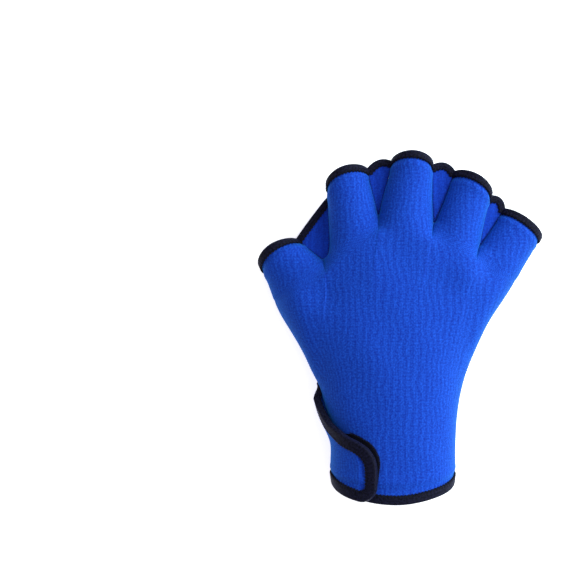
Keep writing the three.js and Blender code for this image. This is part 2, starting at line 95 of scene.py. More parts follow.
# %% Driving sizes in millimetres and degrees
CUFF_WIDTH = 67
PALM_WIDTH = 140
PALM_LENGTH = 153.5
HEM_DROP = 12.3
HEM_SKEW = 0.17
PALM_HEM_RISE = 4
CUFF_DEPTH = 46
PALM_DEPTH = 45
ARCH_HEIGHT = 25.5
ARCH_DROP = 17
ARCH_HALF_SPAN = 82
FLOOR_PRESS = 3.5
FLOOR_ROUND = 1
SECTION_POWER = 2.2
STALL_LENGTH = 30
STALL_WIDTH = 22.9
STALL_DEPTH = 24
RIM_BULGE = 7.8
WAIST_POWER = 0.38
WALL = 2.2
WEB_WALL = 2
TAPE_REACH = 1.1
TAB_LIFT = 2.8
RIM_COVER = 3.4
WEB_COVER = 3.2
HEM_COVER = 4.3
TAB_COVER = 5.4

# %% The forks, stalls, webs and outlines
# Shares of the palm's width and length, thumb side first.
FORKS = np.array([
    (-0.518, 0.68), (-0.321, 0.834), (-0.0914, 1), (0.139, 0.97), (0.328, 0.881), (0.488, 0.757),
])
FORK = FORKS * (PALM_WIDTH, PALM_LENGTH)

FINGERS = [
    {"name": "thumb", "length": 0.6, "width": 1.13, "depth": 1, "bulge": 0.97, "lean": -37, "cut": -38},
    {"name": "index", "length": 1.12, "width": 1.07, "depth": 0.98, "bulge": 0.88, "lean": -2.7, "cut": -22},
    {"name": "middle", "length": 1.075, "width": 1, "depth": 1, "bulge": 0.79, "lean": 6, "cut": 5.5},
    {"name": "ring", "length": 1, "width": 1.07, "depth": 0.97, "bulge": 0.76, "lean": 17, "cut": 34},
    {"name": "little", "length": 0.885, "width": 1.18, "depth": 0.93, "bulge": 0.48, "lean": 32, "cut": 38},
]
# How far each stall's thumb-side edge curves in near its foot, as a share of the stalls' width.
WAIST = np.array([0, 0.14, 0, 0, 0]) * STALL_WIDTH
WEBS = [
    {"name": "thumb_index", "left": 1.04, "right": 0.85, "arch": 0.04},
    {"name": "index_middle", "left": 1, "right": 0.97, "arch": 0.42},
    {"name": "middle_ring", "left": 0.97, "right": 1, "arch": 0.46},
    {"name": "ring_little", "left": 0.99, "right": 1, "arch": 0.45},
]
# How much of the widening from cuff to palm each side has made at a level.
SIDES = {
    "level": [0, 0.08, 0.2, 0.3, 0.4, 0.5, 0.55, 0.6, 0.7, 0.8, 0.9, 1],
    "thumb": [-0.012, 0.018, 0.024, 0.13, 0.22, 0.3, 0.365, 0.44, 0.57, 0.715, 0.861, 1],
    "little": [-0.034, -0.004, 0.002, 0.016, 0.062, 0.146, 0.2, 0.261, 0.404, 0.575, 0.782, 1],
}
# The tab's cut edge: its share of the way round the cuff, over the back, at each level.
TAB_EDGE = {
    "level": [0, 0.03, 0.08, 0.13, 0.17, 0.2, 0.235, 0.29, 0.38, 0.46, 0.5],
    "turn": [0.35, 0.374, 0.381, 0.374, 0.338, 0.282, 0.196, 0.112, 0.05, 0.01, 0],
}
STARTS = {"stalls": 0.55, "arch": 0.6, "back_slims": 0.55, "palm_slims": 0.75, "creases": 0.93}
HEM_END = {"tape": 0.05, "curve": 0.35}
HEM_TURN = {"from": -0.1, "to": 0.9}
CUFF_SHIFT = -0.04
RISE_POWER = 1.5
WEB_TIP = 0.004
LOBES = len(FINGERS)
BACK, PALM = 1, -1
print("forks in mm:", FORK.round(1).tolist())

# %% [markdown]
# ## Surface of the glove
#
# One function gives any point of the cloth from five facts: the face (back or palm), the stall column it
# belongs to, how far round that column it lies, how far up the glove, and how deep in the cloth. Level 0 is
# the hem, 1 the forks and 2 the rims. All of them take whole arrays, so a panel is worked out in one go.

# %% Small helpers for blending and for reading the tables
def mix(a, b, t):
    return a + (b - a) * t


def ease(x, low, high):
    t = np.clip((x - low) / (high - low), 0, 1)
    return t * t * (3 - 2 * t)


def hill(x, width):
    return np.exp(-((x / width) ** 2))


def unit(v):
    return v / np.maximum(np.linalg.norm(v, axis=-1, keepdims=True), 1e-9)


def table_at(keys, values, x):
    keys, values, x = (np.asarray(v, float) for v in (keys, values, x))
    i = np.clip(np.searchsorted(keys, x) - 1, 0, len(keys) - 2)
    last = len(keys) - 1
    before, after = np.maximum(np.arange(last + 1) - 1, 0), np.minimum(np.arange(last + 1) + 1, last)
    slope = (values[after] - values[before]) / (keys[after] - keys[before])
    step = keys[i + 1] - keys[i]
    t = (x - keys[i]) / step
    start = values[i] * (1 + 2 * t) * (1 - t) ** 2 + slope[i] * step * t * (1 - t) ** 2
    end = values[i + 1] * t * t * (3 - 2 * t) + slope[i + 1] * step * t * t * (t - 1)
    return start + end


# %% The stalls' corners and directions
def arch_height(x):
    return ARCH_HEIGHT - ARCH_DROP * (x / ARCH_HALF_SPAN) ** 2


def stall_table():
    names = ("left", "right", "rim_left", "rim_right", "out", "half_depth", "bulge", "length")
    rows = {name: [] for name in names}
    for number, finger in enumerate(FINGERS):
        left, right = FORK[number], FORK[number + 1]
        lean, cut = math.radians(finger["lean"]), math.radians(finger["cut"])
        length = finger["length"] * STALL_LENGTH
        centre = (left + right) / 2 + np.array((math.sin(lean), math.cos(lean))) * length
        half = np.array((math.cos(cut), -math.sin(cut))) * finger["width"] * STALL_WIDTH / 2
        rows["left"].append(left)
        rows["right"].append(right)
        rows["rim_left"].append(centre - half)
        rows["rim_right"].append(centre + half)
        rows["out"].append((math.sin(cut), math.cos(cut), 0))
        rows["half_depth"].append(finger["depth"] * STALL_DEPTH / 2)
        rows["bulge"].append(finger["bulge"] * RIM_BULGE)
        rows["length"].append(length)
    return {key: np.array(value, float) for key, value in rows.items()}


STALL = stall_table()


def stall_edge(lobe, side, share):
    start = STALL["left"][lobe] if side < 0 else STALL["right"][lobe]
    end = STALL["rim_left"][lobe] if side < 0 else STALL["rim_right"][lobe]
    share = np.asarray(share, float)[..., None]
    xy = mix(start, end, share)
    curve = np.sin(np.pi * np.clip(share, 0, 1) ** WAIST_POWER) if side < 0 else 0 * share
    x = xy[..., :1] + WAIST[lobe][..., None] * curve
    return np.concatenate([x, xy[..., 1:], arch_height(x)], axis=-1)


# %% A point of a stall
def stall_point(face, lobe, phi, share, depth):
    left, right = stall_edge(lobe, -1, share), stall_edge(lobe, 1, share)
    half = (right - left) / 2
    half_width = np.linalg.norm(half, axis=-1, keepdims=True)
    across, out = half / half_width, STALL["out"][lobe]
    up = unit(np.cross(across, out))
    half_depth, bulge = STALL["half_depth"][lobe][..., None], STALL["bulge"][lobe][..., None]
    face, phi, depth = (np.asarray(v, float)[..., None] for v in (face, phi, depth))
    forward = bulge * np.sin(phi) * ease(np.asarray(share, float), 0, 1)[..., None]
    point = (left + right) / 2 - across * (half_width - depth) * np.cos(phi)
    return point + up * face * (half_depth - depth) * np.sin(phi) + out * face * forward


# %% The body's side lines, its columns and its oval section
def side_line(side, level):
    end = FORK[0] if side < 0 else FORK[-1]
    start = (CUFF_SHIFT + side) * CUFF_WIDTH / 2
    widened = table_at(SIDES["level"], SIDES["thumb" if side < 0 else "little"], level)
    return np.stack([mix(start, end[0], widened), end[1] * level], axis=-1)


FORK_SHARE = (FORK[:, 0] - FORK[0, 0]) / (FORK[-1, 0] - FORK[0, 0])
FORK_RISE = FORK[:, 1] - mix(FORK[0, 1], FORK[-1, 1], FORK_SHARE)


def column_share(lobe, phi, level):
    by_stall = mix(FORK_SHARE[lobe], FORK_SHARE[lobe + 1], (1 - np.cos(phi)) / 2)
    even = (1 - np.cos(np.pi * (lobe + phi / np.pi) / LOBES)) / 2
    return mix(even, by_stall, ease(level, STARTS["stalls"], 1))


def fork_rise(lobe, phi):
    return mix(FORK_RISE[lobe], FORK_RISE[lobe + 1], (1 - np.cos(phi)) / 2)


def oval_share(w):
    return np.maximum(1 - np.abs(w) ** SECTION_POWER, 0) ** (1 / SECTION_POWER)


def floor_level(level):
    return TAPE_REACH * (1 - ease(level, HEM_END["tape"], HEM_END["curve"]))


# %% A point of the body below the forks
def body_point(face, lobe, phi, level, depth, lift):
    w = 2 * column_share(lobe, phi, level) - 1
    left, right = side_line(-1, level), side_line(1, level)
    half_width = np.linalg.norm(right - left, axis=-1) / 2
    across = unit(right - left)
    round_share = oval_share(w)
    hem = 1 - np.minimum(level / HEM_END["curve"], 1)
    skewed = 1 - HEM_SKEW * ease(w, HEM_TURN["from"], HEM_TURN["to"])
    drop = np.where(face > 0, -HEM_DROP, PALM_HEM_RISE) * skewed * round_share * hem * hem
    reach = w * (half_width + lift - depth)
    x = (left[..., 0] + right[..., 0]) / 2 + across[..., 0] * reach
    rise = fork_rise(lobe, phi) * np.maximum(level, 0) ** RISE_POWER
    y = (left[..., 1] + right[..., 1]) / 2 + across[..., 1] * reach + drop + rise
    middle = CUFF_DEPTH / 2 - FLOOR_PRESS + floor_level(level)
    mid = mix(middle, arch_height(x), ease(level, STARTS["arch"], 1))
    half_depth = mix(CUFF_DEPTH, PALM_DEPTH, ease(level, 0, 1)) / 2
    beside_seam = ((lobe == 0) & (phi < np.pi / 2)) | ((lobe == LOBES - 1) & (phi > np.pi / 2))
    stall_height = STALL["half_depth"][lobe] - depth
    hump = stall_height * np.where(beside_seam, np.sin(phi), 1)
    fold = np.where(beside_seam, 0, (WALL - depth) * (1 - np.sin(phi)))
    slim = np.where(face > 0, ease(level, STARTS["back_slims"], 1), ease(level, STARTS["palm_slims"], 1))
    smooth = mix((half_depth + lift - depth) * round_share, hump, slim)
    height = mix(smooth, stall_height * np.sin(phi) + fold, ease(level, STARTS["creases"], 1))
    return np.stack([x, y, mid + face * height], axis=-1)


# %% The palm side presses on the floor, and opens at the wrist where the tab comes round
SLIT = {"open": 0.44, "closed": 0.53}


def pressed(z, level):
    above = z - level
    rounded = level + (above + FLOOR_ROUND) ** 2 / (4 * FLOOR_ROUND)
    return np.where(above >= FLOOR_ROUND, z, np.where(above <= -FLOOR_ROUND, level, rounded))


def slit_lift(lobe, phi, level):
    w = 2 * column_share(lobe, phi, level) - 1
    return (WALL + TAB_LIFT) * (1 - ease(level, SLIT["open"], SLIT["closed"])) * (1 - ease(w, -1, 0))


def glove_point(face, lobe, phi, level, depth):
    face, lobe, phi, level, depth = np.broadcast_arrays(face, lobe, phi, level, depth)
    lift = np.where(face > 0, 0, slit_lift(lobe, phi, np.minimum(level, 1)))
    body = body_point(face, lobe, phi, np.minimum(level, 1), depth, lift)
    stall = stall_point(face, lobe, phi, np.maximum(level - 1, 0), depth)
    point = np.where((level > 1)[..., None], stall, body)
    floor = np.where(level > 1, 0, floor_level(level)) + depth
    point[..., 2] = np.where(face < 0, pressed(point[..., 2], floor), point[..., 2])
    return point


# %% Round off the line where the stalls begin
SOFT_REACH = 8
SOFT_SPAN = 14
SOFT_POWER = 0.7
SOFT_WEIGHTS = np.array([1, 6, 15, 20, 15, 6, 1]) / 64


def soft_point(face, lobe, phi, level, depth):
    length = STALL["length"][lobe]
    along = (level - 1) * np.where(level > 1, length, PALM_LENGTH)
    reach = SOFT_REACH * hill(along, SOFT_SPAN) * np.sin(phi) ** SOFT_POWER
    point = 0
    for offset, weight in zip(np.linspace(-1, 1, len(SOFT_WEIGHTS)), SOFT_WEIGHTS):
        place = along + offset * reach
        near = 1 + place / np.where(place > 0, length, PALM_LENGTH)
        point = point + weight * glove_point(face, lobe, phi, near, depth)
    return point


# %% [markdown]
# ## Relief of the cloth
#
# Neoprene is a few millimetres of foam, so it has no sharp wrinkles. It sinks where it is sewn, swells beside
# a tape that squeezes it, dents at the foot of each gap between two stalls, and lies in shallow waves. The
# relief is a height that is added square to the cloth, built up from small hills and hollows with named
# places.

# %% Dents at the forks, mounds on the hand and shallow waves
# Places in mm from the middle of the glove, widths in mm, height in mm.
MIDDLE_Y = 87.7
MOUNDS = [
    {"name": "thumb root", "x": -60, "y": 16, "wide": 13, "high": 3},
    {"name": "ring knuckle", "x": 37, "y": 31, "wide": 10, "high": 2.8},
    {"name": "little knuckle", "x": 58, "y": 32, "wide": 10, "high": 0.7},
    {"name": "heel", "x": 14, "y": -50, "wide": 22, "high": 0.6},
]
HOLLOWS = [
    {"name": "between thumb and index", "x": -45, "y": 20, "wide": 10, "high": -1.8},
    {"name": "between ring and little", "x": 53, "y": 34, "wide": 8, "high": -1.8},
    {"name": "below the middle ring gap", "x": 24, "y": 55, "wide": 6, "high": -1},
    {"name": "below the index middle gap", "x": -13, "y": 60, "wide": 5, "high": -0.8},
]
WAVES = np.random.default_rng(7).uniform(-1, 1, (6, 4))
WAVE_LENGTH = 34
WAVE_HEIGHT = 0.16
PALM_SHARE = 0.4
CALM_EDGE = 8
FLOOR_CALM = {"low": 1, "high": 8}
TAPE_SWELL = {"high": 0.5, "past": 2.6, "wide": 1.7}
TAPE_SINK = {"deep": 0.35, "wide": 0.9}
SEAM_SINK = {"deep": 0.6, "wide": 1.3, "level": 0.97, "fade": 3}


def tape_relief(distance, swell, sink):
    raised = swell["high"] * hill(distance - swell["past"], swell["wide"])
    return raised - sink["deep"] * hill(distance, sink["wide"])


def relief(face, lobe, phi, level, point):
    x, y = point[..., 0], point[..., 1] - MIDDLE_Y
    height = np.zeros(x.shape)
    for spot in MOUNDS + HOLLOWS:
        near = hill(np.hypot(x - spot["x"], y - spot["y"]), spot["wide"])
        height += np.where(face > 0, spot["high"], PALM_SHARE * spot["high"]) * near
    for a, b, turn, size in WAVES:
        height += WAVE_HEIGHT * size * np.sin(2 * np.pi * (a * x + b * y) / WAVE_LENGTH + np.pi * turn)
    off_floor = np.where(face > 0, 1, ease(point[..., 2], FLOOR_CALM["low"], FLOOR_CALM["high"]))
    to_rim = (2 - level) * STALL["length"][lobe]
    to_hem = level * FORK[0, 1]
    free = ease(to_rim, RIM_COVER, RIM_COVER + CALM_EDGE) * ease(to_hem, HEM_COVER, HEM_COVER + CALM_EDGE)
    height = height * off_floor * free
    for to_edge, cover in ((to_rim, RIM_COVER), (to_hem, HEM_COVER)):
        height += tape_relief(to_edge - cover, TAPE_SWELL, TAPE_SINK) * off_floor
    to_seam = np.minimum(phi, np.pi - phi) * STALL["half_depth"][lobe]
    sewn = np.where(level > 1, 1, ease(level, SEAM_SINK["level"], 1))
    near_rim = ease(to_rim, RIM_COVER, RIM_COVER + SEAM_SINK["fade"])
    height -= SEAM_SINK["deep"] * hill(to_seam, SEAM_SINK["wide"]) * sewn * near_rim
    return height


# %% [markdown]
# ## Make meshes
#
# Each cloth piece is a grid of points for its outer face and one for its inner face, joined round the cut
# edges, so the mesh is one closed body. The knit needs to know how far a point lies along and across
# the cloth: that length, measured on the cloth itself, is stored as the UV map "knit" in millimetres. The map
# "slack" holds how far that length runs ahead of the plain plan, which grows where the cloth slopes away.

# %% Close a wall between two sheets of points
def add_mesh(name, points, faces, maps=None):
    mesh = bpy.data.meshes.new(name)
    mesh.from_pydata((np.asarray(points) * MM).tolist(), [], faces)
    mesh.polygons.foreach_set("use_smooth", [True] * len(mesh.polygons))
    corners = np.zeros(len(mesh.loops), int)
    mesh.loops.foreach_get("vertex_index", corners)
    for label, values in (maps or {}).items():
        layer = mesh.uv_layers.new(name=label)
        layer.data.foreach_set("uv", np.asarray(values, float)[corners].ravel())
    piece = bpy.data.objects.new(name, mesh)
    bpy.context.scene.collection.objects.link(piece)
    return piece


def closed_wall(count, faces):
    edges = {(a, face[(i + 1) % len(face)]) for face in faces for i, a in enumerate(face)}
    inner = [tuple(v + count for v in reversed(face)) for face in faces]
    rims = [(b, a, a + count, b + count) for a, b in sorted(edges) if (b, a) not in edges]
    return list(faces) + inner + rims


def grid_faces(rows, columns):
    wide = columns + 1
    corner = [(r * wide + c) for r in range(rows) for c in range(columns)]
    return [(a, a + 1, a + wide + 1, a + wide) for a in corner]


# %% Set the formula's frame on the solids' frame
# The solids were moved to stand on the middle of their box, and the back panel's corner tells how far.
SOLID_LEVELS = [0, 0.04, 0.1, 0.17, 0.235, 0.3, 0.37, 0.45, 0.52, 0.58, 0.64, 0.72, 0.8, 0.87, 0.93, 0.97, 1]
SOLID_SHARES = [0.1, 0.28, 0.48, 0.68, 0.86, 1]
SOLID_STEPS = 6


def frame_shift():
    levels = SOLID_LEVELS + [1 + share for share in SOLID_SHARES]
    turns = np.linspace(0, np.pi, SOLID_STEPS + 1)
    lobe, phi, level = np.meshgrid(range(LOBES), turns, levels, indexing="ij")
    solid = glove_point(BACK, lobe, phi, level, 0).reshape(-1, 3)
    low, high = (np.array(corner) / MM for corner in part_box("back_panel"))
    apart = np.abs((high - low) - np.ptp(solid, axis=0))[:2]
    print("back panel, both corners agree within mm:", apart.round(2))
    return np.append((low - solid.min(0))[:2], 0)


SHIFT = frame_shift()
print("moved by mm:", SHIFT.round(3))

# %% [markdown]
# ## Back and palm
#
# On the real glove the back and the palm are each one piece of cloth, cut with five stalls and sewn together
# round the outside. The grid of a panel has a block of columns for each stall. Neighbouring blocks share a
# column up to the fork and part above it, which slits the cloth between the stalls as the cutter's knife
# does.

# %% Measure the cloth's own length for the knit
COLUMNS = 28
BODY_ROWS = 132
STALL_ROWS = 34
STEEPEST = 0.12


def knit_step(points, axis):
    step = np.diff(points, axis=axis)
    run = np.hypot(step[..., 0], step[..., 1])
    length = np.linalg.norm(step, axis=-1)
    stretch = length / np.maximum(run, STEEPEST * np.maximum(length, 1e-9))
    return step[..., :2] * stretch[..., None]


def knit_map(points):
    rows, lobes, steps = points.shape[:3]
    middle = steps // 2
    knit = np.zeros((rows, lobes, steps, 2))
    fork_row = BODY_ROWS
    flat = points[: fork_row + 1].reshape(fork_row + 1, lobes * steps, 3)
    centre = (lobes // 2) * steps + middle
    up = np.concatenate([[flat[0, centre, :2]], knit_step(flat[:, centre], 0)]).cumsum(0)
    across = np.concatenate([np.zeros((fork_row + 1, 1, 2)), knit_step(flat, 1)], axis=1).cumsum(1)
    body = up[:, None] + across - across[:, centre : centre + 1]
    knit[: fork_row + 1] = body.reshape(fork_row + 1, lobes, steps, 2)
    for lobe in range(lobes):
        tip = points[fork_row:, lobe]
        start = knit[fork_row, lobe, middle]
        up = np.concatenate([[start], knit_step(tip[:, middle], 0)]).cumsum(0)
        across = np.concatenate([np.zeros((len(tip), 1, 2)), knit_step(tip, 1)], axis=1).cumsum(1)
        knit[fork_row:, lobe] = up[:, None] + across - across[:, middle : middle + 1]
    return knit


# %% Build one panel
def panel_points(face):
    levels = np.concatenate([np.linspace(0, 1, BODY_ROWS + 1), 1 + np.linspace(0, 1, STALL_ROWS + 1)[1:]])
    level, lobe, step = np.meshgrid(levels, range(LOBES), range(COLUMNS + 1), indexing="ij")
    phi = np.pi * step / COLUMNS
    outer = soft_point(face, lobe, phi, level, 0)
    inner = soft_point(face, lobe, phi, level, WALL)
    height = relief(face, lobe, phi, level, outer)[..., None]
    square = unit(outer - inner)
    outer, inner = outer + square * height, inner + square * height
    return outer, inner


def build_panel(name, face):
    outer, inner = panel_points(face)
    knit = knit_map(outer)
    rows = outer.shape[0]
    wide = COLUMNS + 1
    number = np.arange(rows * LOBES * wide).reshape(rows, LOBES, wide)
    number[: BODY_ROWS + 1, :-1, -1] = number[: BODY_ROWS + 1, 1:, 0]
    used, index = np.unique(number, return_inverse=True)
    index = index.reshape(number.shape)
    a, b = index[:-1, :, :-1], index[:-1, :, 1:]
    c, d = index[1:, :, 1:], index[1:, :, :-1]
    order = (a, b, c, d) if face > 0 else (d, c, b, a)
    faces = np.stack(order, axis=-1).reshape(-1, 4).tolist()
    outer, inner = (p.reshape(-1, 3)[used] + SHIFT for p in (outer, inner))
    knit = knit.reshape(-1, 2)[used]
    slack = knit + SHIFT[:2] - outer[:, :2]
    maps = {"knit": np.tile(knit, (2, 1)), "slack": np.tile(slack, (2, 1))}
    piece = add_mesh(name, np.concatenate([outer, inner]), closed_wall(len(outer), faces), maps)
    print(name, len(piece.data.polygons), "faces, knit reaches mm", knit.min(0).round(), knit.max(0).round())
    return piece


back_panel = build_panel("back_of_hand", BACK)
palm_panel = build_panel("palm_of_hand", PALM)

# %% [markdown]
# ## Webs
#
# A web is a small tongue of cloth that is sewn along the facing sides of two stalls, halfway between back and
# palm, so it lies lower than the fingers. It is a grid between two lines on the stalls, from near the fork to
# its top edge, which arches forward. It sags a little, because nothing stretches it until the fingers spread.

# %% Build the webs
WEB_SAG = 0.9
SEWN_IN = 0.3
WEB_ROWS = 44
WEB_COLUMNS = 24


def web_point(number, u, row, depth):
    web = WEBS[number]
    left_share, right_share = mix(WEB_TIP, web["left"], row), mix(WEB_TIP, web["right"], row)
    left, right = stall_edge(number, 1, left_share), stall_edge(number + 1, -1, right_share)
    width = np.linalg.norm(right - left, axis=-1)
    across = unit(right - left)
    forward = unit(STALL["out"][number] + STALL["out"][number + 1])
    up = unit(np.cross(across, forward))
    reach = mix(-SEWN_IN, width + SEWN_IN, u)
    arch = web["arch"] * RIM_BULGE * 4 * u * (1 - u) * row * row
    sag = WEB_SAG * 4 * u * (1 - u) * np.sin(np.pi * np.clip(row, 0, 1)) * np.minimum(width / STALL_WIDTH, 1)
    height = WEB_WALL / 2 - depth - sag
    return left + across * reach[..., None] + forward * arch[..., None] + up * height[..., None]


def grid_knit(points):
    middle = points.shape[1] // 2
    up = np.concatenate([[points[0, middle, :2]], knit_step(points[:, middle], 0)]).cumsum(0)
    across = np.concatenate([np.zeros((len(points), 1, 2)), knit_step(points, 1)], axis=1).cumsum(1)
    return up[:, None] + across - across[:, middle : middle + 1]


def build_sheet(name, outer, inner):
    rows, columns = outer.shape[0] - 1, outer.shape[1] - 1
    knit = grid_knit(outer).reshape(-1, 2)
    outer, inner = outer.reshape(-1, 3) + SHIFT, inner.reshape(-1, 3) + SHIFT
    slack = knit + SHIFT[:2] - outer[:, :2]
    maps = {"knit": np.tile(knit, (2, 1)), "slack": np.tile(slack, (2, 1))}
    faces = closed_wall(len(outer), grid_faces(rows, columns))
    piece = add_mesh(name, np.concatenate([outer, inner]), faces, maps)
    print(name, "size in mm", (np.ptp(outer, axis=0)).round(1))
    return piece


def build_web(number):
    rows, columns = np.linspace(0, 1, WEB_ROWS + 1), np.linspace(0, 1, WEB_COLUMNS + 1)
    row, u = np.meshgrid(rows, columns, indexing="ij")
    outer, inner = web_point(number, u, row, 0), web_point(number, u, row, WEB_WALL)
    return build_sheet("web_" + WEBS[number]["name"] + "_cloth", outer, inner)


webs = [build_web(number) for number in range(len(WEBS))]

# %% [markdown]
# ## Binding tape
#
# Every cut edge is wrapped in a folded stretch tape. A curve with a bevel would be quick, but the fold has
# two legs that lie on the two faces of the cloth. So the section is worked out at each station from four
# points: the edge and the line where the tape ends, each on the outer and the inner face. The tape is thinned
# where its stitches pull it down, which gives its free edge the toothed look that the glove shows.

# %% Find the line where a tape ends, square to its edge
NUDGE = 1e-3


def dot(a, b):
    return (a * b).sum(-1)


def square_inset(sheet, a, b, distance, wall):
    here = sheet(a, b, wall / 2)
    nudge = np.where(a > a.mean(), -NUDGE, NUDGE)
    along_a = (sheet(a + nudge, b, wall / 2) - here) / nudge[:, None]
    along_b = (sheet(a, b + NUDGE, wall / 2) - here) / NUDGE
    path = along_a * np.gradient(a)[:, None] + along_b * np.gradient(b)[:, None]
    inward = unit(np.cross(np.cross(along_a, along_b), path)) * np.asarray(distance)[..., None]
    aa, ab, bb = dot(along_a, along_a), dot(along_a, along_b), dot(along_b, along_b)
    scale = 1 / (aa * bb - ab * ab)
    step_a = (bb * dot(inward, along_a) - ab * dot(inward, along_b)) * scale
    step_b = (aa * dot(inward, along_b) - ab * dot(inward, along_a)) * scale
    return a + step_a, b + step_b


# %% Sweep the folded section along an edge
STITCH_PITCH = 2
LEG_POINTS = 9
FOLD_POINTS = 11
LINING_POINTS = 4
ROUNDED_EDGE = 0.8
TOOTH = 0.3
STITCH_DIP = {"deep": 0.3, "in": 0.9, "wide": 0.6}
EDGE_SHARE = 0.2
FOLD_POWER = 0.8


def leg_height(distance):
    rounding = np.sqrt(np.clip(1 - (1 - np.minimum(distance / ROUNDED_EDGE, 1)) ** 2, 0, 1))
    return TAPE_REACH * (EDGE_SHARE + (1 - EDGE_SHARE) * rounding)


def tape_section(guide, cover):
    edge_out, edge_in, back_out, back_in = guide
    square, back_square = unit(edge_out - edge_in), unit(back_out - back_in)
    away = unit(edge_out + edge_in - back_out - back_in)
    along = np.concatenate([[0], np.linalg.norm(np.diff(edge_out, axis=0), axis=-1)]).cumsum()
    pull = 0.5 + 0.5 * np.cos(2 * np.pi * along / STITCH_PITCH)
    ring, across = [], []
    shares = np.linspace(0, 1, LEG_POINTS) ** 1.4

    def leg(edge, back, side, t):
        distance = t * cover
        base = mix(back, edge, t) + away * (TOOTH * pull * (1 - t) ** 3)[:, None]
        dip = STITCH_DIP["deep"] * pull * hill(distance - STITCH_DIP["in"], STITCH_DIP["wide"])
        normal = unit(mix(back_square, square, t)) * side
        return base + normal * (leg_height(distance) - dip)[:, None]

    for t in shares:
        ring.append(leg(edge_out, back_out, 1, t))
        across.append(t * cover)
    middle = (edge_out + edge_in) / 2
    half = (np.linalg.norm(edge_out - edge_in, axis=-1) / 2 + TAPE_REACH)[:, None]
    for angle in np.linspace(math.pi / 2, -math.pi / 2, FOLD_POINTS + 2)[1:-1]:
        squareness = math.copysign(abs(math.sin(angle)) ** FOLD_POWER, math.sin(angle))
        outwards = away * TAPE_REACH * abs(math.cos(angle)) ** FOLD_POWER
        ring.append(middle + square * half * squareness + outwards)
        across.append(cover + (math.pi / 2 - angle) * (WALL / 2 + TAPE_REACH))
    for t in shares[::-1]:
        ring.append(leg(edge_in, back_in, -1, t))
        across.append(cover + math.pi * (WALL / 2 + TAPE_REACH) + (1 - t) * cover)
    for t in np.linspace(0, 1, LINING_POINTS):
        ring.append(mix(back_in, edge_in, t))
        across.append(across[-1])
    for t in np.linspace(1, 0, LINING_POINTS):
        ring.append(mix(back_out, edge_out, t))
        across.append(across[-1])
    return np.stack(ring, axis=1), along, np.array([np.mean(a) for a in across])


def build_tape(name, guide, cover, closed):
    ring, along, across = tape_section(guide, cover)
    stations, size = ring.shape[:2]
    if closed:
        ring, stations = ring[:-1], stations - 1
    spans = stations if closed else stations - 1
    i, k = np.meshgrid(np.arange(spans), np.arange(size), indexing="ij")
    j, m = (i + 1) % stations, (k + 1) % size
    corners = [i * size + k, i * size + m, j * size + m, j * size + k]
    faces = np.stack(corners, axis=-1).reshape(-1, 4).tolist()
    if not closed:
        faces += [list(range(size))[::-1], list(range((stations - 1) * size, stations * size))]
    knit = np.stack(np.broadcast_arrays(across[None, :], along[:stations, None]), axis=-1).reshape(-1, 2)
    piece = add_mesh(name, ring.reshape(-1, 3) + SHIFT, faces, {"knit": knit})
    piece.data.validate()
    turn_outwards(piece)
    print(name, "is", round(float(along[-1])), "mm long")
    return piece


def turn_outwards(piece):
    corners = np.array([v.co for v in piece.data.vertices])
    piece.data.calc_loop_triangles()
    triangles = np.array([t.vertices for t in piece.data.loop_triangles])
    a, b, c = (corners[triangles[:, k]] for k in range(3))
    if dot(a, np.cross(b, c)).sum() < 0:
        piece.data.flip_normals()


# %% The sheets that the tapes follow
def column_of(turn):
    lobe = np.clip(np.floor(turn * LOBES), 0, LOBES - 1).astype(int)
    return lobe, (turn * LOBES - lobe) * np.pi


def round_point(lobe, phi, level, depth):
    back = phi <= np.pi
    return glove_point(np.where(back, BACK, PALM), lobe, np.where(back, phi, 2 * np.pi - phi), level, depth)


def cuff_point(turn, level, depth):
    turn = np.clip(turn, 0, 2)
    lobe, phi = column_of(np.where(turn <= 1, turn, 2 - turn))
    return glove_point(np.where(turn <= 1, BACK, PALM), lobe, phi, level, depth)


def guide_of(sheet, a, b, inset_a, inset_b, wall):
    return [sheet(a, b, 0), sheet(a, b, wall), sheet(inset_a, inset_b, 0), sheet(inset_a, inset_b, wall)]


# %% Bind the rims of the stalls
RIM_STATIONS = 240
SHORT_STEP = 0.05


def rim_guide(lobe):
    phi = np.linspace(2 * np.pi, 0, RIM_STATIONS + 1)
    edge = round_point(lobe, phi, 2.0, 0)
    speed = np.linalg.norm(edge - round_point(lobe, phi, 2 - SHORT_STEP, 0), axis=-1) / SHORT_STEP
    inset = 2 - RIM_COVER / speed
    sheet = lambda p, level, depth: round_point(lobe, p, level, depth)
    return guide_of(sheet, phi, np.full(phi.shape, 2.0), phi, inset, WALL)


rim_guides = [rim_guide(lobe) for lobe in range(LOBES)]
rims = [
    build_tape("rim_binding_" + finger["name"], rim_guides[lobe], RIM_COVER, True)
    for lobe, finger in enumerate(FINGERS)
]

# %% Bind the tops of the webs
WEB_STATIONS = 60


def web_guide(number):
    u = np.linspace(1, 0, WEB_STATIONS + 1)
    top = np.ones(u.shape)
    sheet = lambda a, row, depth: web_point(number, a, row, depth)
    inset_u, inset_row = square_inset(sheet, u, top, np.full(u.shape, WEB_COVER), WEB_WALL)
    return guide_of(sheet, u, top, np.clip(inset_u, 0, 1), inset_row, WEB_WALL)


web_guides = [web_guide(number) for number in range(len(WEBS))]
web_tapes = [
    build_tape("web_binding_" + web["name"], web_guides[number], WEB_COVER, False)
    for number, web in enumerate(WEBS)
]

# %% Bind the hem
HEM_STATIONS = 420
hem_turn = np.linspace(0, 2, HEM_STATIONS + 1)
hem_level = np.zeros(hem_turn.shape)
hem_inset = square_inset(cuff_point, hem_turn, hem_level, np.full(hem_turn.shape, HEM_COVER), WALL)
hem_guide = guide_of(cuff_point, hem_turn, hem_level, np.clip(hem_inset[0], 0, 2), hem_inset[1], WALL)
hem_tape = build_tape("hem_binding", hem_guide, HEM_COVER, False)

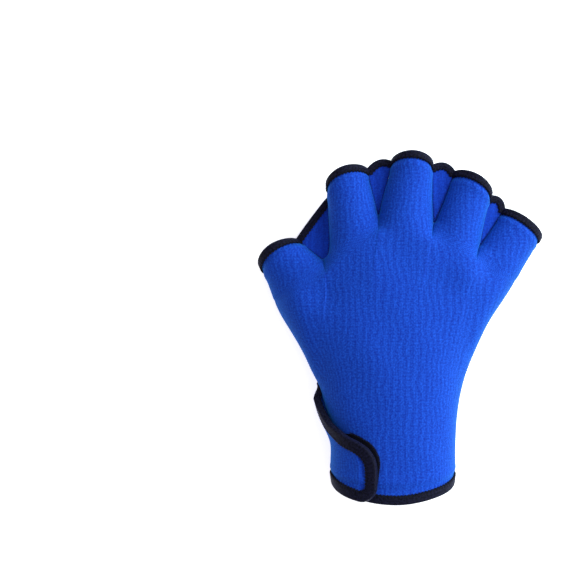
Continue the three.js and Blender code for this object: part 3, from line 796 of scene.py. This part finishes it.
# %% [markdown]
# ## Wrist tab
#
# The palm's cloth runs on past the thumb side as a tab that comes over the back of the cuff. Its end is cut
# round below and sweeps up in an S to the top of the slit. The tab lies on two layers of hook and loop
# fabric, and the loop layer is a little larger, so its rough dark edge, with a fringe of loose fibres, peeks
# out past the binding.

# %% Cut the tab
TURN_LENGTH = 92
TAB_CORNER = 5
TAB_TOP = 0.46
TAB_ROWS = 90
TAB_COLUMNS = 44
TAB_SWELL = {"high": 0.4, "past": 2.2, "wide": 1.5}
TAB_SINK = {"deep": 0.3, "wide": 0.8}


def wrap_point(turn, level, depth, lift=WALL + TAB_LIFT):
    lobe, phi = column_of(np.maximum(turn, 0))
    lifted = lift * (1 - ease(level, SLIT["open"], SLIT["closed"]))
    over = body_point(BACK, lobe, phi, level, 0, lifted - depth)
    palm_lobe, palm_phi = column_of(np.maximum(-turn, 0))
    under = glove_point(PALM, palm_lobe, palm_phi, level, depth)
    return np.where((np.asarray(turn) >= 0)[..., None], over, under)


def tab_turn(level):
    return np.maximum(table_at(TAB_EDGE["level"], TAB_EDGE["turn"], level), 0)


def tab_end(level):
    corner_turn, corner_level = TAB_CORNER / TURN_LENGTH, TAB_CORNER / FORK[0, 1]
    missing = 1 - np.sqrt(np.clip(1 - (1 - np.minimum(level / corner_level, 1)) ** 2, 0, 1))
    return tab_turn(level) - corner_turn * missing


def build_tab():
    levels = TAB_TOP * np.linspace(0, 1, TAB_ROWS + 1) ** 1.25
    level, share = np.meshgrid(levels, np.linspace(0, 1, TAB_COLUMNS + 1), indexing="ij")
    turn = tab_end(level) * share
    outer, inner = wrap_point(turn, level, 0), wrap_point(turn, level, WALL)
    to_end = (tab_end(level) - turn) * TURN_LENGTH
    height = tape_relief(to_end - TAB_COVER, TAB_SWELL, TAB_SINK)
    height = height + tape_relief(level * FORK[0, 1] - TAB_COVER, TAB_SWELL, TAB_SINK)
    return build_sheet("tab_cloth", outer + unit(outer - inner) * height[..., None], inner)


tab = build_tab()

# %% Bind the tab, round the corner and up to the top of the slit
TAB_STATIONS = 460
TAB_TAPE_START = 0.008


def tab_path():
    corner = TAB_CORNER / FORK[0, 1]
    hem_end = float(tab_end(np.array(0.0)))
    hem = [(t, 0) for t in np.linspace(TAB_TAPE_START, hem_end, 60)[:-1]]
    bend = [(float(tab_end(np.array(v))), v) for v in corner * (1 - np.cos(np.linspace(0, np.pi / 2, 24)))]
    free = [(float(tab_end(np.array(v))), v) for v in np.linspace(corner, SLIT["closed"], 260)[1:]]
    rough = np.array(hem + bend + free)
    places = wrap_point(rough[:, 0], rough[:, 1], WALL / 2)
    along = np.concatenate([[0], np.linalg.norm(np.diff(places, axis=0), axis=-1)]).cumsum()
    even = np.linspace(0, along[-1], TAB_STATIONS + 1)
    return np.interp(even, along, rough[:, 0]), np.interp(even, along, rough[:, 1])


tab_a, tab_b = tab_path()
tab_inset = square_inset(wrap_point, tab_a, tab_b, np.full(tab_a.shape, TAB_COVER), WALL)
tab_guide = guide_of(wrap_point, tab_a, tab_b, tab_inset[0], np.maximum(tab_inset[1], 0), WALL)
tab_tape = build_tape("tab_binding", tab_guide, TAB_COVER, False)

# %% Lay the loop and hook layers under the tab
PAD_WALL = 1
PAD_GAP = 0.05
LOOP = {"from": 0.06, "to": 0.24, "full": 0.14, "peek_level": 0.013, "peek_turn": 0.009, "tuck": 0.012}
HOOK = {"from": 0.055, "to": 0.15, "inset_level": 0.045, "inset_turn": 0.055}
PATCH_START = 0.15
PATCH_LEAST = 0.002
PATCH_STEPS = 36


def tab_edge(level):
    return table_at(TAB_EDGE["level"], TAB_EDGE["turn"], level)


def loop_end(level):
    tucked = LOOP["tuck"] * (1 - ease(level, LOOP["from"], LOOP["full"]))
    return tab_edge(level - LOOP["peek_level"]) + LOOP["peek_turn"] - tucked


def hook_end(level):
    return tab_edge(level + HOOK["inset_level"]) - HOOK["inset_turn"]


def build_patch(name, span, end, lift):
    levels = np.linspace(span["from"], span["to"], PATCH_STEPS + 1)
    level, share = np.meshgrid(levels, np.linspace(0, 1, PATCH_STEPS + 1), indexing="ij")
    turn = mix(PATCH_START, np.maximum(end(level), PATCH_START + PATCH_LEAST), share)
    outer = wrap_point(turn, level, 0, lift + PAD_WALL)
    inner = wrap_point(turn, level, PAD_WALL, lift + PAD_WALL)
    return build_sheet(name, outer, inner)


loop_patch = build_patch("loop_layer", LOOP, loop_end, PAD_GAP)
hook_patch = build_patch("hook_layer", HOOK, hook_end, TAB_LIFT - PAD_WALL - PAD_GAP)

# %% Measure the loop layer's free edge for its fringe
FRINGE_HAIRS = 1500
FRINGE_LENGTH = 1.1
FRINGE_RADIUS = 0.07
FRINGE_ROOT = 0.4
FRINGE_LEAN = {"along": 0.45, "up": 0.2}


def fringe_places(seed=11):
    random = np.random.default_rng(seed)
    lift = PAD_GAP + PAD_WALL
    level = random.uniform(LOOP["from"], LOOP["to"], FRINGE_HAIRS)
    turn = loop_end(level)
    root = wrap_point(turn, level, random.uniform(0, PAD_WALL, FRINGE_HAIRS), lift)
    edge = wrap_point(turn, level, 0, lift)
    ahead = wrap_point(turn + NUDGE, level, 0, lift) - edge
    along = wrap_point(loop_end(level + NUDGE), level + NUDGE, 0, lift) - edge
    square = unit(np.cross(ahead, along))
    outwards = unit(np.cross(unit(along), square))
    outwards = outwards * np.sign(dot(outwards, unit(ahead)))[:, None]
    lean = unit(along) * random.normal(0, FRINGE_LEAN["along"], (FRINGE_HAIRS, 1))
    reach = FRINGE_LENGTH * random.uniform(0.5, 1.2, (FRINGE_HAIRS, 1))
    rise = square * random.normal(0, FRINGE_LEAN["up"], (FRINGE_HAIRS, 1))
    tip = root + (outwards + lean + rise) * reach
    return root - outwards * FRINGE_ROOT, tip, np.repeat(np.array([[0.0, 0.0, 1.0]]), FRINGE_HAIRS, axis=0)


# %% [markdown]
# ## Stitches
#
# Thread is modelled, because it is what makes a sewn edge look sewn. One stitch is a short six-sided capsule
# that arches a little between its two needle holes. All the stitches of one tape or seam are made together as
# one joined mesh from arrays, which is far quicker than an object for each. The loop layer's fringe is made
# the same way, from straight fibres.

# %% Make many stitches as one mesh
STITCH_RINGS = [(0, 0.3, -0.6), (0.12, 0.9, 0.3), (0.5, 1, 1), (0.88, 0.9, 0.3), (1, 0.3, -0.6)]
STITCH_SIDES = 6


def build_stitches(name, starts, ends, normals, radius, lift):
    ahead = unit(ends - starts)
    side = unit(np.cross(ahead, normals))
    up = np.cross(side, ahead)
    angles = np.linspace(0, 2 * np.pi, STITCH_SIDES + 1)[:-1]
    rings = []
    for share, thick, arch in STITCH_RINGS:
        centre = mix(starts, ends, share) + up * (lift * arch)
        circle = [centre + radius * thick * (side * math.cos(a) + up * math.sin(a)) for a in angles]
        rings.append(np.stack(circle, axis=1))
    points = np.stack(rings, axis=1).reshape(-1, 3)
    one = len(STITCH_RINGS) * STITCH_SIDES
    faces = []
    for first in range(0, len(points), one):
        for r in range(len(STITCH_RINGS) - 1):
            for k in range(STITCH_SIDES):
                a, b = first + r * STITCH_SIDES + k, first + r * STITCH_SIDES + (k + 1) % STITCH_SIDES
                faces.append((a, b, b + STITCH_SIDES, a + STITCH_SIDES))
        faces.append(tuple(first + k for k in range(STITCH_SIDES))[::-1])
        faces.append(tuple(first + one - STITCH_SIDES + k for k in range(STITCH_SIDES)))
    piece = add_mesh(name, points + SHIFT, faces)
    turn_outwards(piece)
    print(name, "has", len(starts), "stitches")
    return piece


# %% Zigzag over the free edges of the tapes
THREAD = 0.22
NEEDLE = {"on_tape": 1.25, "on_cloth": 0.5, "over_tape": 0.02, "over_cloth": 0.05}


def resample(along, values, places):
    return np.stack([np.interp(places, along, values[:, k]) for k in range(3)], axis=-1)


def zigzag(name, guide, cover, sides=(1,)):
    edge_out, edge_in, back_out, back_in = guide
    starts, ends, normals = [], [], []
    for side in sides:
        edge, back = (edge_out, back_out) if side > 0 else (edge_in, back_in)
        square = unit(back_out - back_in) * side
        along = np.concatenate([[0], np.linalg.norm(np.diff(back, axis=0), axis=-1)]).cumsum()
        count = max(int(along[-1] / STITCH_PITCH), 2)
        places = np.linspace(0, along[-1], 2 * count + 1)
        away = unit(edge - back)
        over_tape = square * (TAPE_REACH + NEEDLE["over_tape"])
        on_tape = resample(along, back + away * NEEDLE["on_tape"] + over_tape, places)
        over_cloth = square * NEEDLE["over_cloth"]
        on_cloth = resample(along, back - away * NEEDLE["on_cloth"] + over_cloth, places)
        even = (np.arange(len(places)) % 2 == 0)[:, None]
        points = np.where(even, on_tape, on_cloth)
        starts.append(points[:-1])
        ends.append(points[1:])
        normals.append(resample(along, square, places)[:-1])
    return build_stitches(name, *(np.concatenate(v) for v in (starts, ends, normals)), THREAD, 0.1)


fringe = build_stitches("loop_fringe", *fringe_places(), FRINGE_RADIUS, 0)
rim_threads = [
    zigzag("rim_stitches_" + finger["name"], rim_guides[lobe], RIM_COVER)
    for lobe, finger in enumerate(FINGERS)
]
web_threads = [
    zigzag("web_stitches_" + web["name"], web_guides[number], WEB_COVER, (1, -1))
    for number, web in enumerate(WEBS)
]
hem_thread = zigzag("hem_stitches", hem_guide, HEM_COVER)
tab_thread = zigzag("tab_stitches", tab_guide, TAB_COVER)

# %% Sew the webs to the stalls, and the palm to the back
SEAM_PITCH = 1.5
SEAM_THREAD = 0.16
SEAM_ARCH = 0.12
WEB_HOLE = {"first": 0.03, "round": 0.09, "into_stall": 0.06, "into_web": 0.8}
SIDE_HOLE = {"round": 0.085, "over": 0.05, "arch": 0.1}


def seam_stitches(name, first, second, lean=0.35):
    normals = unit(np.cross(np.gradient(first, axis=0), second - first))
    middle = (first + second) / 2
    flip = np.sign(normals[:, 2:3])
    flip[flip == 0] = 1
    skip = np.gradient(middle, axis=0) * lean
    return build_stitches(name, first - skip, second + skip, normals * flip, SEAM_THREAD, SEAM_ARCH)


def web_seam(lobe, number, side):
    web = WEBS[number]
    top = web["left" if side > 0 else "right"]
    length = np.linalg.norm(stall_edge(lobe, side, np.array(1.0)) - stall_edge(lobe, side, np.array(0.0)))
    count = int(length * top / SEAM_PITCH)
    share = np.linspace(WEB_TIP + WEB_HOLE["first"], top - (WEB_COVER + 1) / length, count)
    row = (share - WEB_TIP) / (top - WEB_TIP)
    phi = np.full(share.shape, np.pi - WEB_HOLE["round"] if side > 0 else WEB_HOLE["round"])
    on_stall = glove_point(BACK, lobe, phi + (-1 if side > 0 else 1) * WEB_HOLE["into_stall"], 1 + share, 0)
    on_web = web_point(number, np.full(share.shape, 0.0 if side > 0 else 1.0), row, 0)
    inward = unit(web_point(number, np.full(share.shape, 0.5), row, 0) - on_web)
    name = "seam_" + FINGERS[lobe]["name"] + ("_right" if side > 0 else "_left")
    return seam_stitches(name, on_stall, on_web + inward * WEB_HOLE["into_web"])


web_seams = []
for number in range(len(WEBS)):
    web_seams.append(web_seam(number, number, 1))
    web_seams.append(web_seam(number + 1, number, -1))


def side_seam(name, lobe, end, levels):
    phi = np.full(levels.shape, SIDE_HOLE["round"] if end < 0 else np.pi - SIDE_HOLE["round"])
    first, second = (glove_point(face, lobe, phi, levels, -SIDE_HOLE["over"]) for face in (BACK, PALM))
    middle = (first + second) / 2
    outwards = unit(np.cross(np.gradient(middle, axis=0), second - first)) * (1 if end < 0 else -1)
    outwards[:, 2] = 0
    return build_stitches(name, first, second, unit(outwards), SEAM_THREAD, SIDE_HOLE["arch"])


THUMB_SEAM = np.concatenate([np.linspace(0.56, 1, 34), 1 + np.linspace(0.05, 0.8, 9)])
LITTLE_SEAM = np.concatenate([np.linspace(0.045, 1, 78), 1 + np.linspace(0.05, 0.86, 15)])
side_seams = [
    side_seam("seam_thumb_side", 0, -1, THUMB_SEAM),
    side_seam("seam_little_side", LOBES - 1, 1, LITTLE_SEAM),
]

# %% [markdown]
# ## Cloth
#
# The face of the neoprene is a fine knit of royal blue yarn. Close up it shows upright rows of small V-shaped
# loops. From further off the rows run together into faint ripples that follow the swell of the hand, because
# the rows crowd where the cloth slopes away. The material works both out from the length of the cloth.

# %% Helpers for materials
def new_material(name, color, roughness):
    material = bpy.data.materials.new(name)
    material.use_nodes = True
    tree = material.node_tree
    shader = tree.nodes["Principled BSDF"]
    shader.inputs["Base Color"].default_value = (*color, 1)
    shader.inputs["Roughness"].default_value = roughness
    return material, tree, shader


def node(tree, kind, **settings):
    made = tree.nodes.new(kind)
    for key, value in settings.items():
        setattr(made, key, value)
    return made


def put(tree, socket, value):
    if isinstance(value, bpy.types.NodeSocket):
        tree.links.new(value, socket)
    else:
        socket.default_value = value


def math_node(tree, operation, *values):
    made = node(tree, "ShaderNodeMath", operation=operation)
    for socket, value in zip(made.inputs, values):
        put(tree, socket, value)
    return made.outputs[0]


def blend_colors(tree, share, first, second):
    made = node(tree, "ShaderNodeMix", data_type="RGBA")
    put(tree, made.inputs["Factor"], share)
    put(tree, made.inputs[6], first)
    put(tree, made.inputs[7], second)
    return made.outputs[2]


def noise(tree, vector, scale, detail=2.0):
    made = node(tree, "ShaderNodeTexNoise")
    put(tree, made.inputs["Vector"], vector)
    made.inputs["Scale"].default_value = scale
    made.inputs["Detail"].default_value = detail
    return made.outputs["Fac"]


def uv_parts(tree, label):
    made = node(tree, "ShaderNodeUVMap", uv_map=label)
    parts = node(tree, "ShaderNodeSeparateXYZ")
    tree.links.new(made.outputs["UV"], parts.inputs["Vector"])
    return parts.outputs["X"], parts.outputs["Y"], made.outputs["UV"]


# %% The knit: rows of small loops, ripples and a heather of lighter and darker yarn
LOOP_WIDE = 0.95
LOOP_TALL = 0.8
RIPPLE = 1.2
RIPPLE_UP = 0.7 * RIPPLE
RIPPLE_ACROSS = 0.24
RIPPLE_WANDER = 2.4


def wave(tree, turns):
    return math_node(tree, "SINE", math_node(tree, "MULTIPLY", turns, 2 * math.pi))


def weighted_sum(tree, parts):
    total = 0.0
    for value, weight in parts:
        total = math_node(tree, "ADD", total, math_node(tree, "MULTIPLY", value, weight))
    return total


def stretched_noise(tree, vector, scale, detail):
    mapping = node(tree, "ShaderNodeMapping")
    tree.links.new(vector, mapping.inputs["Vector"])
    mapping.inputs["Scale"].default_value = (*scale, 1)
    return noise(tree, mapping.outputs["Vector"], 1.0, detail)


def loop_height(tree, across, up):
    column = math_node(tree, "FRACT", math_node(tree, "DIVIDE", across, LOOP_WIDE))
    leg = math_node(tree, "ABSOLUTE", weighted_sum(tree, [(column, 2.0), (1.0, -1.0)]))
    rise = weighted_sum(tree, [(up, 1 / LOOP_TALL), (leg, 0.6)])
    strand = weighted_sum(tree, [(wave(tree, rise), 0.5), (0.5, 1.0)])
    crown = math_node(tree, "SUBTRACT", 1.0, math_node(tree, "POWER", leg, 3.0))
    return math_node(tree, "MULTIPLY", strand, crown)


def knit_cloth(name, dark, light):
    material, tree, shader = new_material(name, light, 0.8)
    across, up, knit = uv_parts(tree, "knit")
    slack_x, slack_y, _ = uv_parts(tree, "slack")
    loops = loop_height(tree, across, up)
    wander = noise(tree, knit, 0.05, 1.0)
    waves = [(slack_x, RIPPLE), (slack_y, RIPPLE_UP), (wander, RIPPLE_WANDER), (across, RIPPLE_ACROSS)]
    ripple = wave(tree, weighted_sum(tree, waves))
    yarn = stretched_noise(tree, knit, (1.3, 0.22), 2.0)
    speck = noise(tree, knit, 0.95, 2.0)
    cloud = noise(tree, knit, 0.05, 2.0)
    parts = [(ripple, 0.06), (yarn, 0.2), (speck, 0.95), (cloud, 0.12), (loops, 0.26), (1.0, -0.285)]
    spread = node(tree, "ShaderNodeMapRange", interpolation_type="SMOOTHSTEP")
    put(tree, spread.inputs["Value"], weighted_sum(tree, parts))
    spread.inputs["From Min"].default_value = 0.15
    spread.inputs["From Max"].default_value = 0.85
    color = blend_colors(tree, spread.outputs["Result"], (*dark, 1), (*light, 1))
    tree.links.new(color, shader.inputs["Base Color"])
    bump = node(tree, "ShaderNodeBump")
    bump.inputs["Strength"].default_value = 0.4
    bump.inputs["Distance"].default_value = 0.16 * MM
    put(tree, bump.inputs["Height"], weighted_sum(tree, [(loops, 1.0), (yarn, 0.5), (speck, 0.5)]))
    tree.links.new(bump.outputs["Normal"], shader.inputs["Normal"])
    shader.inputs["Sheen Weight"].default_value = 0.42
    shader.inputs["Sheen Roughness"].default_value = 0.5
    shader.inputs["Sheen Tint"].default_value = (0.05, 0.5, 1, 1)
    shader.inputs["Specular IOR Level"].default_value = 0.1
    return material


body_cloth = knit_cloth("royal knit", (0.0018, 0.0165, 0.27), (0.0105, 0.082, 0.61))
# The webs take a darker copy of the same knit: painted shade for their sunken place between the stalls.
web_cloth_painted_shade = knit_cloth("web knit with painted shade", (0.0018, 0.017, 0.26), (0.006, 0.054, 0.52))


# %% [markdown]
# ## Tape, thread, hook and loop
#
# The binding is a stretch tape with fine cross ribs and a low sheen. Its threads are as dark as the tape, the
# seams have blue ones, and hook and loop fabric is a dull black with a coarse pile. The web seams' deep blue,
# darker than the cloth, is partly thread and partly painted shade in the crease beside each web.

# %% Binding tape
RIB_PITCH = 0.55
WARP_PITCH = 0.7


def ribbed_tape(name):
    material, tree, shader = new_material(name, (0.005, 0.005, 0.015), 0.55)
    across, along, knit = uv_parts(tree, "knit")
    rib = math_node(tree, "SINE", math_node(tree, "MULTIPLY", along, 2 * math.pi / RIB_PITCH))
    warp = math_node(tree, "SINE", math_node(tree, "MULTIPLY", across, 2 * math.pi / WARP_PITCH))
    weave = math_node(tree, "MULTIPLY", rib, warp)
    fuzz = noise(tree, knit, 0.9, 3.0)
    grain = weighted_sum(tree, [(weave, 0.2), (fuzz, 3.0), (1.0, -1.1)])
    color = blend_colors(tree, grain, (0.0006, 0.0007, 0.004, 1), (0.011, 0.011, 0.034, 1))
    tree.links.new(color, shader.inputs["Base Color"])
    bump = node(tree, "ShaderNodeBump")
    bump.inputs["Strength"].default_value = 0.5
    bump.inputs["Distance"].default_value = 0.12 * MM
    put(tree, bump.inputs["Height"], math_node(tree, "ADD", weave, fuzz))
    tree.links.new(bump.outputs["Normal"], shader.inputs["Normal"])
    shader.inputs["Sheen Weight"].default_value = 0.08
    shader.inputs["Sheen Roughness"].default_value = 0.4
    shader.inputs["Sheen Tint"].default_value = (0.15, 0.2, 0.9, 1)
    shader.inputs["Specular IOR Level"].default_value = 0.06
    return material


tape_finish = ribbed_tape("navy binding")


# %% Thread and pile
def thread_finish(name, dark, light):
    material, tree, shader = new_material(name, light, 0.55)
    place = node(tree, "ShaderNodeTexCoord").outputs["Object"]
    twist = noise(tree, place, 2200, 1.0)
    tree.links.new(blend_colors(tree, twist, (*dark, 1), (*light, 1)), shader.inputs["Base Color"])
    shader.inputs["Sheen Weight"].default_value = 0.05
    shader.inputs["Specular IOR Level"].default_value = 0.08
    return material


navy_thread = thread_finish("navy thread", (0.0006, 0.0007, 0.003), (0.0035, 0.0036, 0.012))
# The web seams' deep blue is partly the thread and partly painted shade in the crease where web meets stall.
seam_thread_and_painted_shade = thread_finish("deep blue thread and painted seam shade", (0.001, 0.003, 0.05), (0.002, 0.009, 0.12))
blue_thread = thread_finish("royal thread", (0.003, 0.022, 0.3), (0.007, 0.045, 0.5))


def pile_finish(name):
    material, tree, shader = new_material(name, (0.01, 0.009, 0.016), 0.85)
    _, _, knit = uv_parts(tree, "knit")
    pile = noise(tree, knit, 3.0, 4.0)
    color = blend_colors(tree, pile, (0.0005, 0.0005, 0.0018, 1), (0.0045, 0.0045, 0.012, 1))
    tree.links.new(color, shader.inputs["Base Color"])
    shader.inputs["Specular IOR Level"].default_value = 0.06
    bump = node(tree, "ShaderNodeBump")
    bump.inputs["Distance"].default_value = 0.4 * MM
    put(tree, bump.inputs["Height"], pile)
    tree.links.new(bump.outputs["Normal"], shader.inputs["Normal"])
    return material


pile_black = pile_finish("hook and loop")

# %% [markdown]
# ## Dress the glove
#
# Each piece gets its finish and rides on the glove's one body, and the plain solid that it stands for is
# hidden.

# %% Finish, body and the solid that each piece stands for
def dress(piece, material, slot, *solids):
    piece.data.materials.append(material)
    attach(piece, "root")
    if solids:
        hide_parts(*solids)


dress(back_panel, body_cloth, "cloth_blue", "back_panel")
dress(palm_panel, body_cloth, "cloth_blue", "palm_panel")
dress(tab, body_cloth, "cloth_blue", "closure_tab")
for number, web in enumerate(WEBS):
    dress(webs[number], web_cloth_painted_shade, "web_blue", "web_" + web["name"])
    dress(web_tapes[number], tape_finish, "binding_tape", "web_tape_" + web["name"])
    dress(web_threads[number], navy_thread, "binding_tape")
for lobe, finger in enumerate(FINGERS):
    dress(rims[lobe], tape_finish, "binding_tape", "rim_tape_" + finger["name"])
    dress(rim_threads[lobe], navy_thread, "binding_tape")
dress(hem_tape, tape_finish, "binding_tape", "cuff_tape")
dress(hem_thread, navy_thread, "binding_tape")
dress(tab_tape, tape_finish, "binding_tape", "tab_tape")
dress(tab_thread, navy_thread, "binding_tape")
dress(loop_patch, pile_black, "hook_loop", "loop_patch")
dress(hook_patch, pile_black, "hook_loop", "hook_patch")
dress(fringe, navy_thread, "hook_loop")
for seam in web_seams:
    dress(seam, seam_thread_and_painted_shade, "binding_tape")
for seam in side_seams:
    dress(seam, blue_thread, "cloth_blue")

# %% [markdown]

# %% [markdown]
# ## Floor and light
#
# The glove lies on a plain white floor, which glows a little so that shadows stay faint. A broad light
# overhead fills the cloth evenly, and a brighter one from the upper right draws the pale edge along the right
# side of every finger.

# %% Floor
FLOOR_HALF = 3
FLOOR_CORNERS = [(-1, -1), (1, -1), (1, 1), (-1, 1)]
floor_mesh = bpy.data.meshes.new("floor")
floor_mesh.from_pydata([(FLOOR_HALF * x, FLOOR_HALF * y, 0) for x, y in FLOOR_CORNERS], [], [(0, 1, 2, 3)])
floor = bpy.data.objects.new("floor", floor_mesh)
bpy.context.scene.collection.objects.link(floor)
floor_finish, _, floor_shader = new_material("white paper", (0.93, 0.93, 0.94), 0.9)
floor_shader.inputs["Emission Color"].default_value = (1, 1, 1, 1)
floor_shader.inputs["Emission Strength"].default_value = 0.7
floor_mesh.materials.append(floor_finish)


# %% Lights
def area_light(name, place, power, size, color=(1, 1, 1)):
    data = bpy.data.lights.new(name, "AREA")
    data.energy = power
    data.size = size
    data.color = color
    light = bpy.data.objects.new(name, data)
    light.location = place
    light.rotation_euler = (Vector((0, 0, 0)) - Vector(place)).to_track_quat("-Z", "Y").to_euler()
    bpy.context.scene.collection.objects.link(light)


area_light("overhead", (0.1, 0.2, 1.8), 11, 1.8, (1, 0.95, 1))
area_light("key from the upper right", (1.25, 0.5, 0.8), 54, 1.5, (0.84, 1, 0.92))
world = bpy.data.worlds.new("studio")
world.use_nodes = True
world.node_tree.nodes["Background"].inputs["Color"].default_value = (0.94, 0.88, 1, 1)
world.node_tree.nodes["Background"].inputs["Strength"].default_value = 0.3
bpy.context.scene.world = world
bpy.context.scene.view_settings.view_transform = "Standard"
